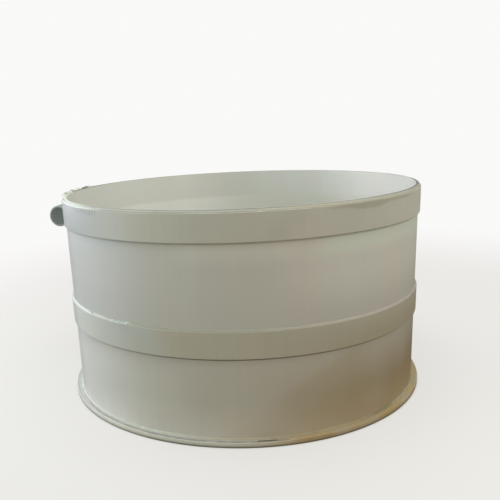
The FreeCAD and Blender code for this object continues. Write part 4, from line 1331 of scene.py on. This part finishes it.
world = bpy.data.worlds.new("pale_room")
scene.world = world
world.use_nodes = True
world_tree = world.node_tree
start = Paint(world_tree)
facing = start.node("TexCoord", {}, "Generated")
side = apart(facing)[0]
room = blend(rise(side, -1.0, 1.0), (0.03, 0.03, 0.03), (0.54, 0.545, 0.475))
shown = blend(start.node("LightPath", {}, "Is Camera Ray"), room, (0.955, 0.95, 0.94))
world_tree.links.new(shown.outlet, world_tree.nodes["Background"].inputs["Color"])


def area_light(name, spot, aim, size, power, tone):
    """A soft square lamp at a spot, turned towards its aim."""
    lamp = bpy.data.lights.new(name, "AREA")
    lamp.shape = "SQUARE"
    lamp.size = size
    lamp.energy = power
    lamp.color = tone
    made = bpy.data.objects.new(name, lamp)
    made.location = spot
    made.rotation_euler = (Vector(aim) - Vector(spot)).to_track_quat("-Z", "Y").to_euler()
    scene.collection.objects.link(made)


tank_middle = (0.0, 0.0, 0.45)
area_light("window_light", (-3.4, 1.9, 1.5), tank_middle, 2.6, 73.0, (0.92, 0.88, 1.0))
area_light("side_light", (-3.6, -0.3, 0.9), tank_middle, 2.6, 46.0, (0.64, 0.84, 1.0))
area_light("front_light", (-2.9, -2.4, 1.3), tank_middle, 2.4, 22.0, (1.0, 0.99, 0.68))
area_light("ceiling_light", (-0.4, -0.6, 4.2), (0.0, 0.0, 0.0), 3.5, 128.0, (0.95, 1.0, 0.98))
area_light("right_light", (2.6, -2.8, 1.3), tank_middle, 2.0, 16.0, (1.0, 0.85, 0.60))

camera_spot = Vector((0.0, -2.808, 1.1317))
camera_turn, camera_dip, camera_tilt = -0.0564, 0.2816, -0.049
focal_pixels = 633.49
middle_pixel = Vector((207.9, 303.307))
frame_pixels = 500.0
lens = bpy.data.cameras.new("camera")
camera = bpy.data.objects.new("camera", lens)
scene.collection.objects.link(camera)
ahead = Vector((
    math.sin(camera_turn) * math.cos(camera_dip),
    math.cos(camera_turn) * math.cos(camera_dip),
    -math.sin(camera_dip),
))
right = Vector((math.cos(camera_turn), -math.sin(camera_turn), 0.0))
above = right.cross(ahead)
lean = Matrix.Rotation(0.0, 3, "Z")
tilted_right = right * math.cos(camera_tilt) + above * math.sin(camera_tilt)
tilted_up = above * math.cos(camera_tilt) - right * math.sin(camera_tilt)
pose = Matrix((tilted_right, tilted_up, -ahead)).transposed().to_4x4()
camera.matrix_world = Matrix.Translation(camera_spot) @ pose
lens.sensor_width = 36.0
lens.lens = focal_pixels * lens.sensor_width / frame_pixels
lens.shift_x = 0.5 - middle_pixel.x / frame_pixels
lens.shift_y = middle_pixel.y / frame_pixels - 0.5
scene.camera = camera
scene.view_settings.view_transform = "Standard"
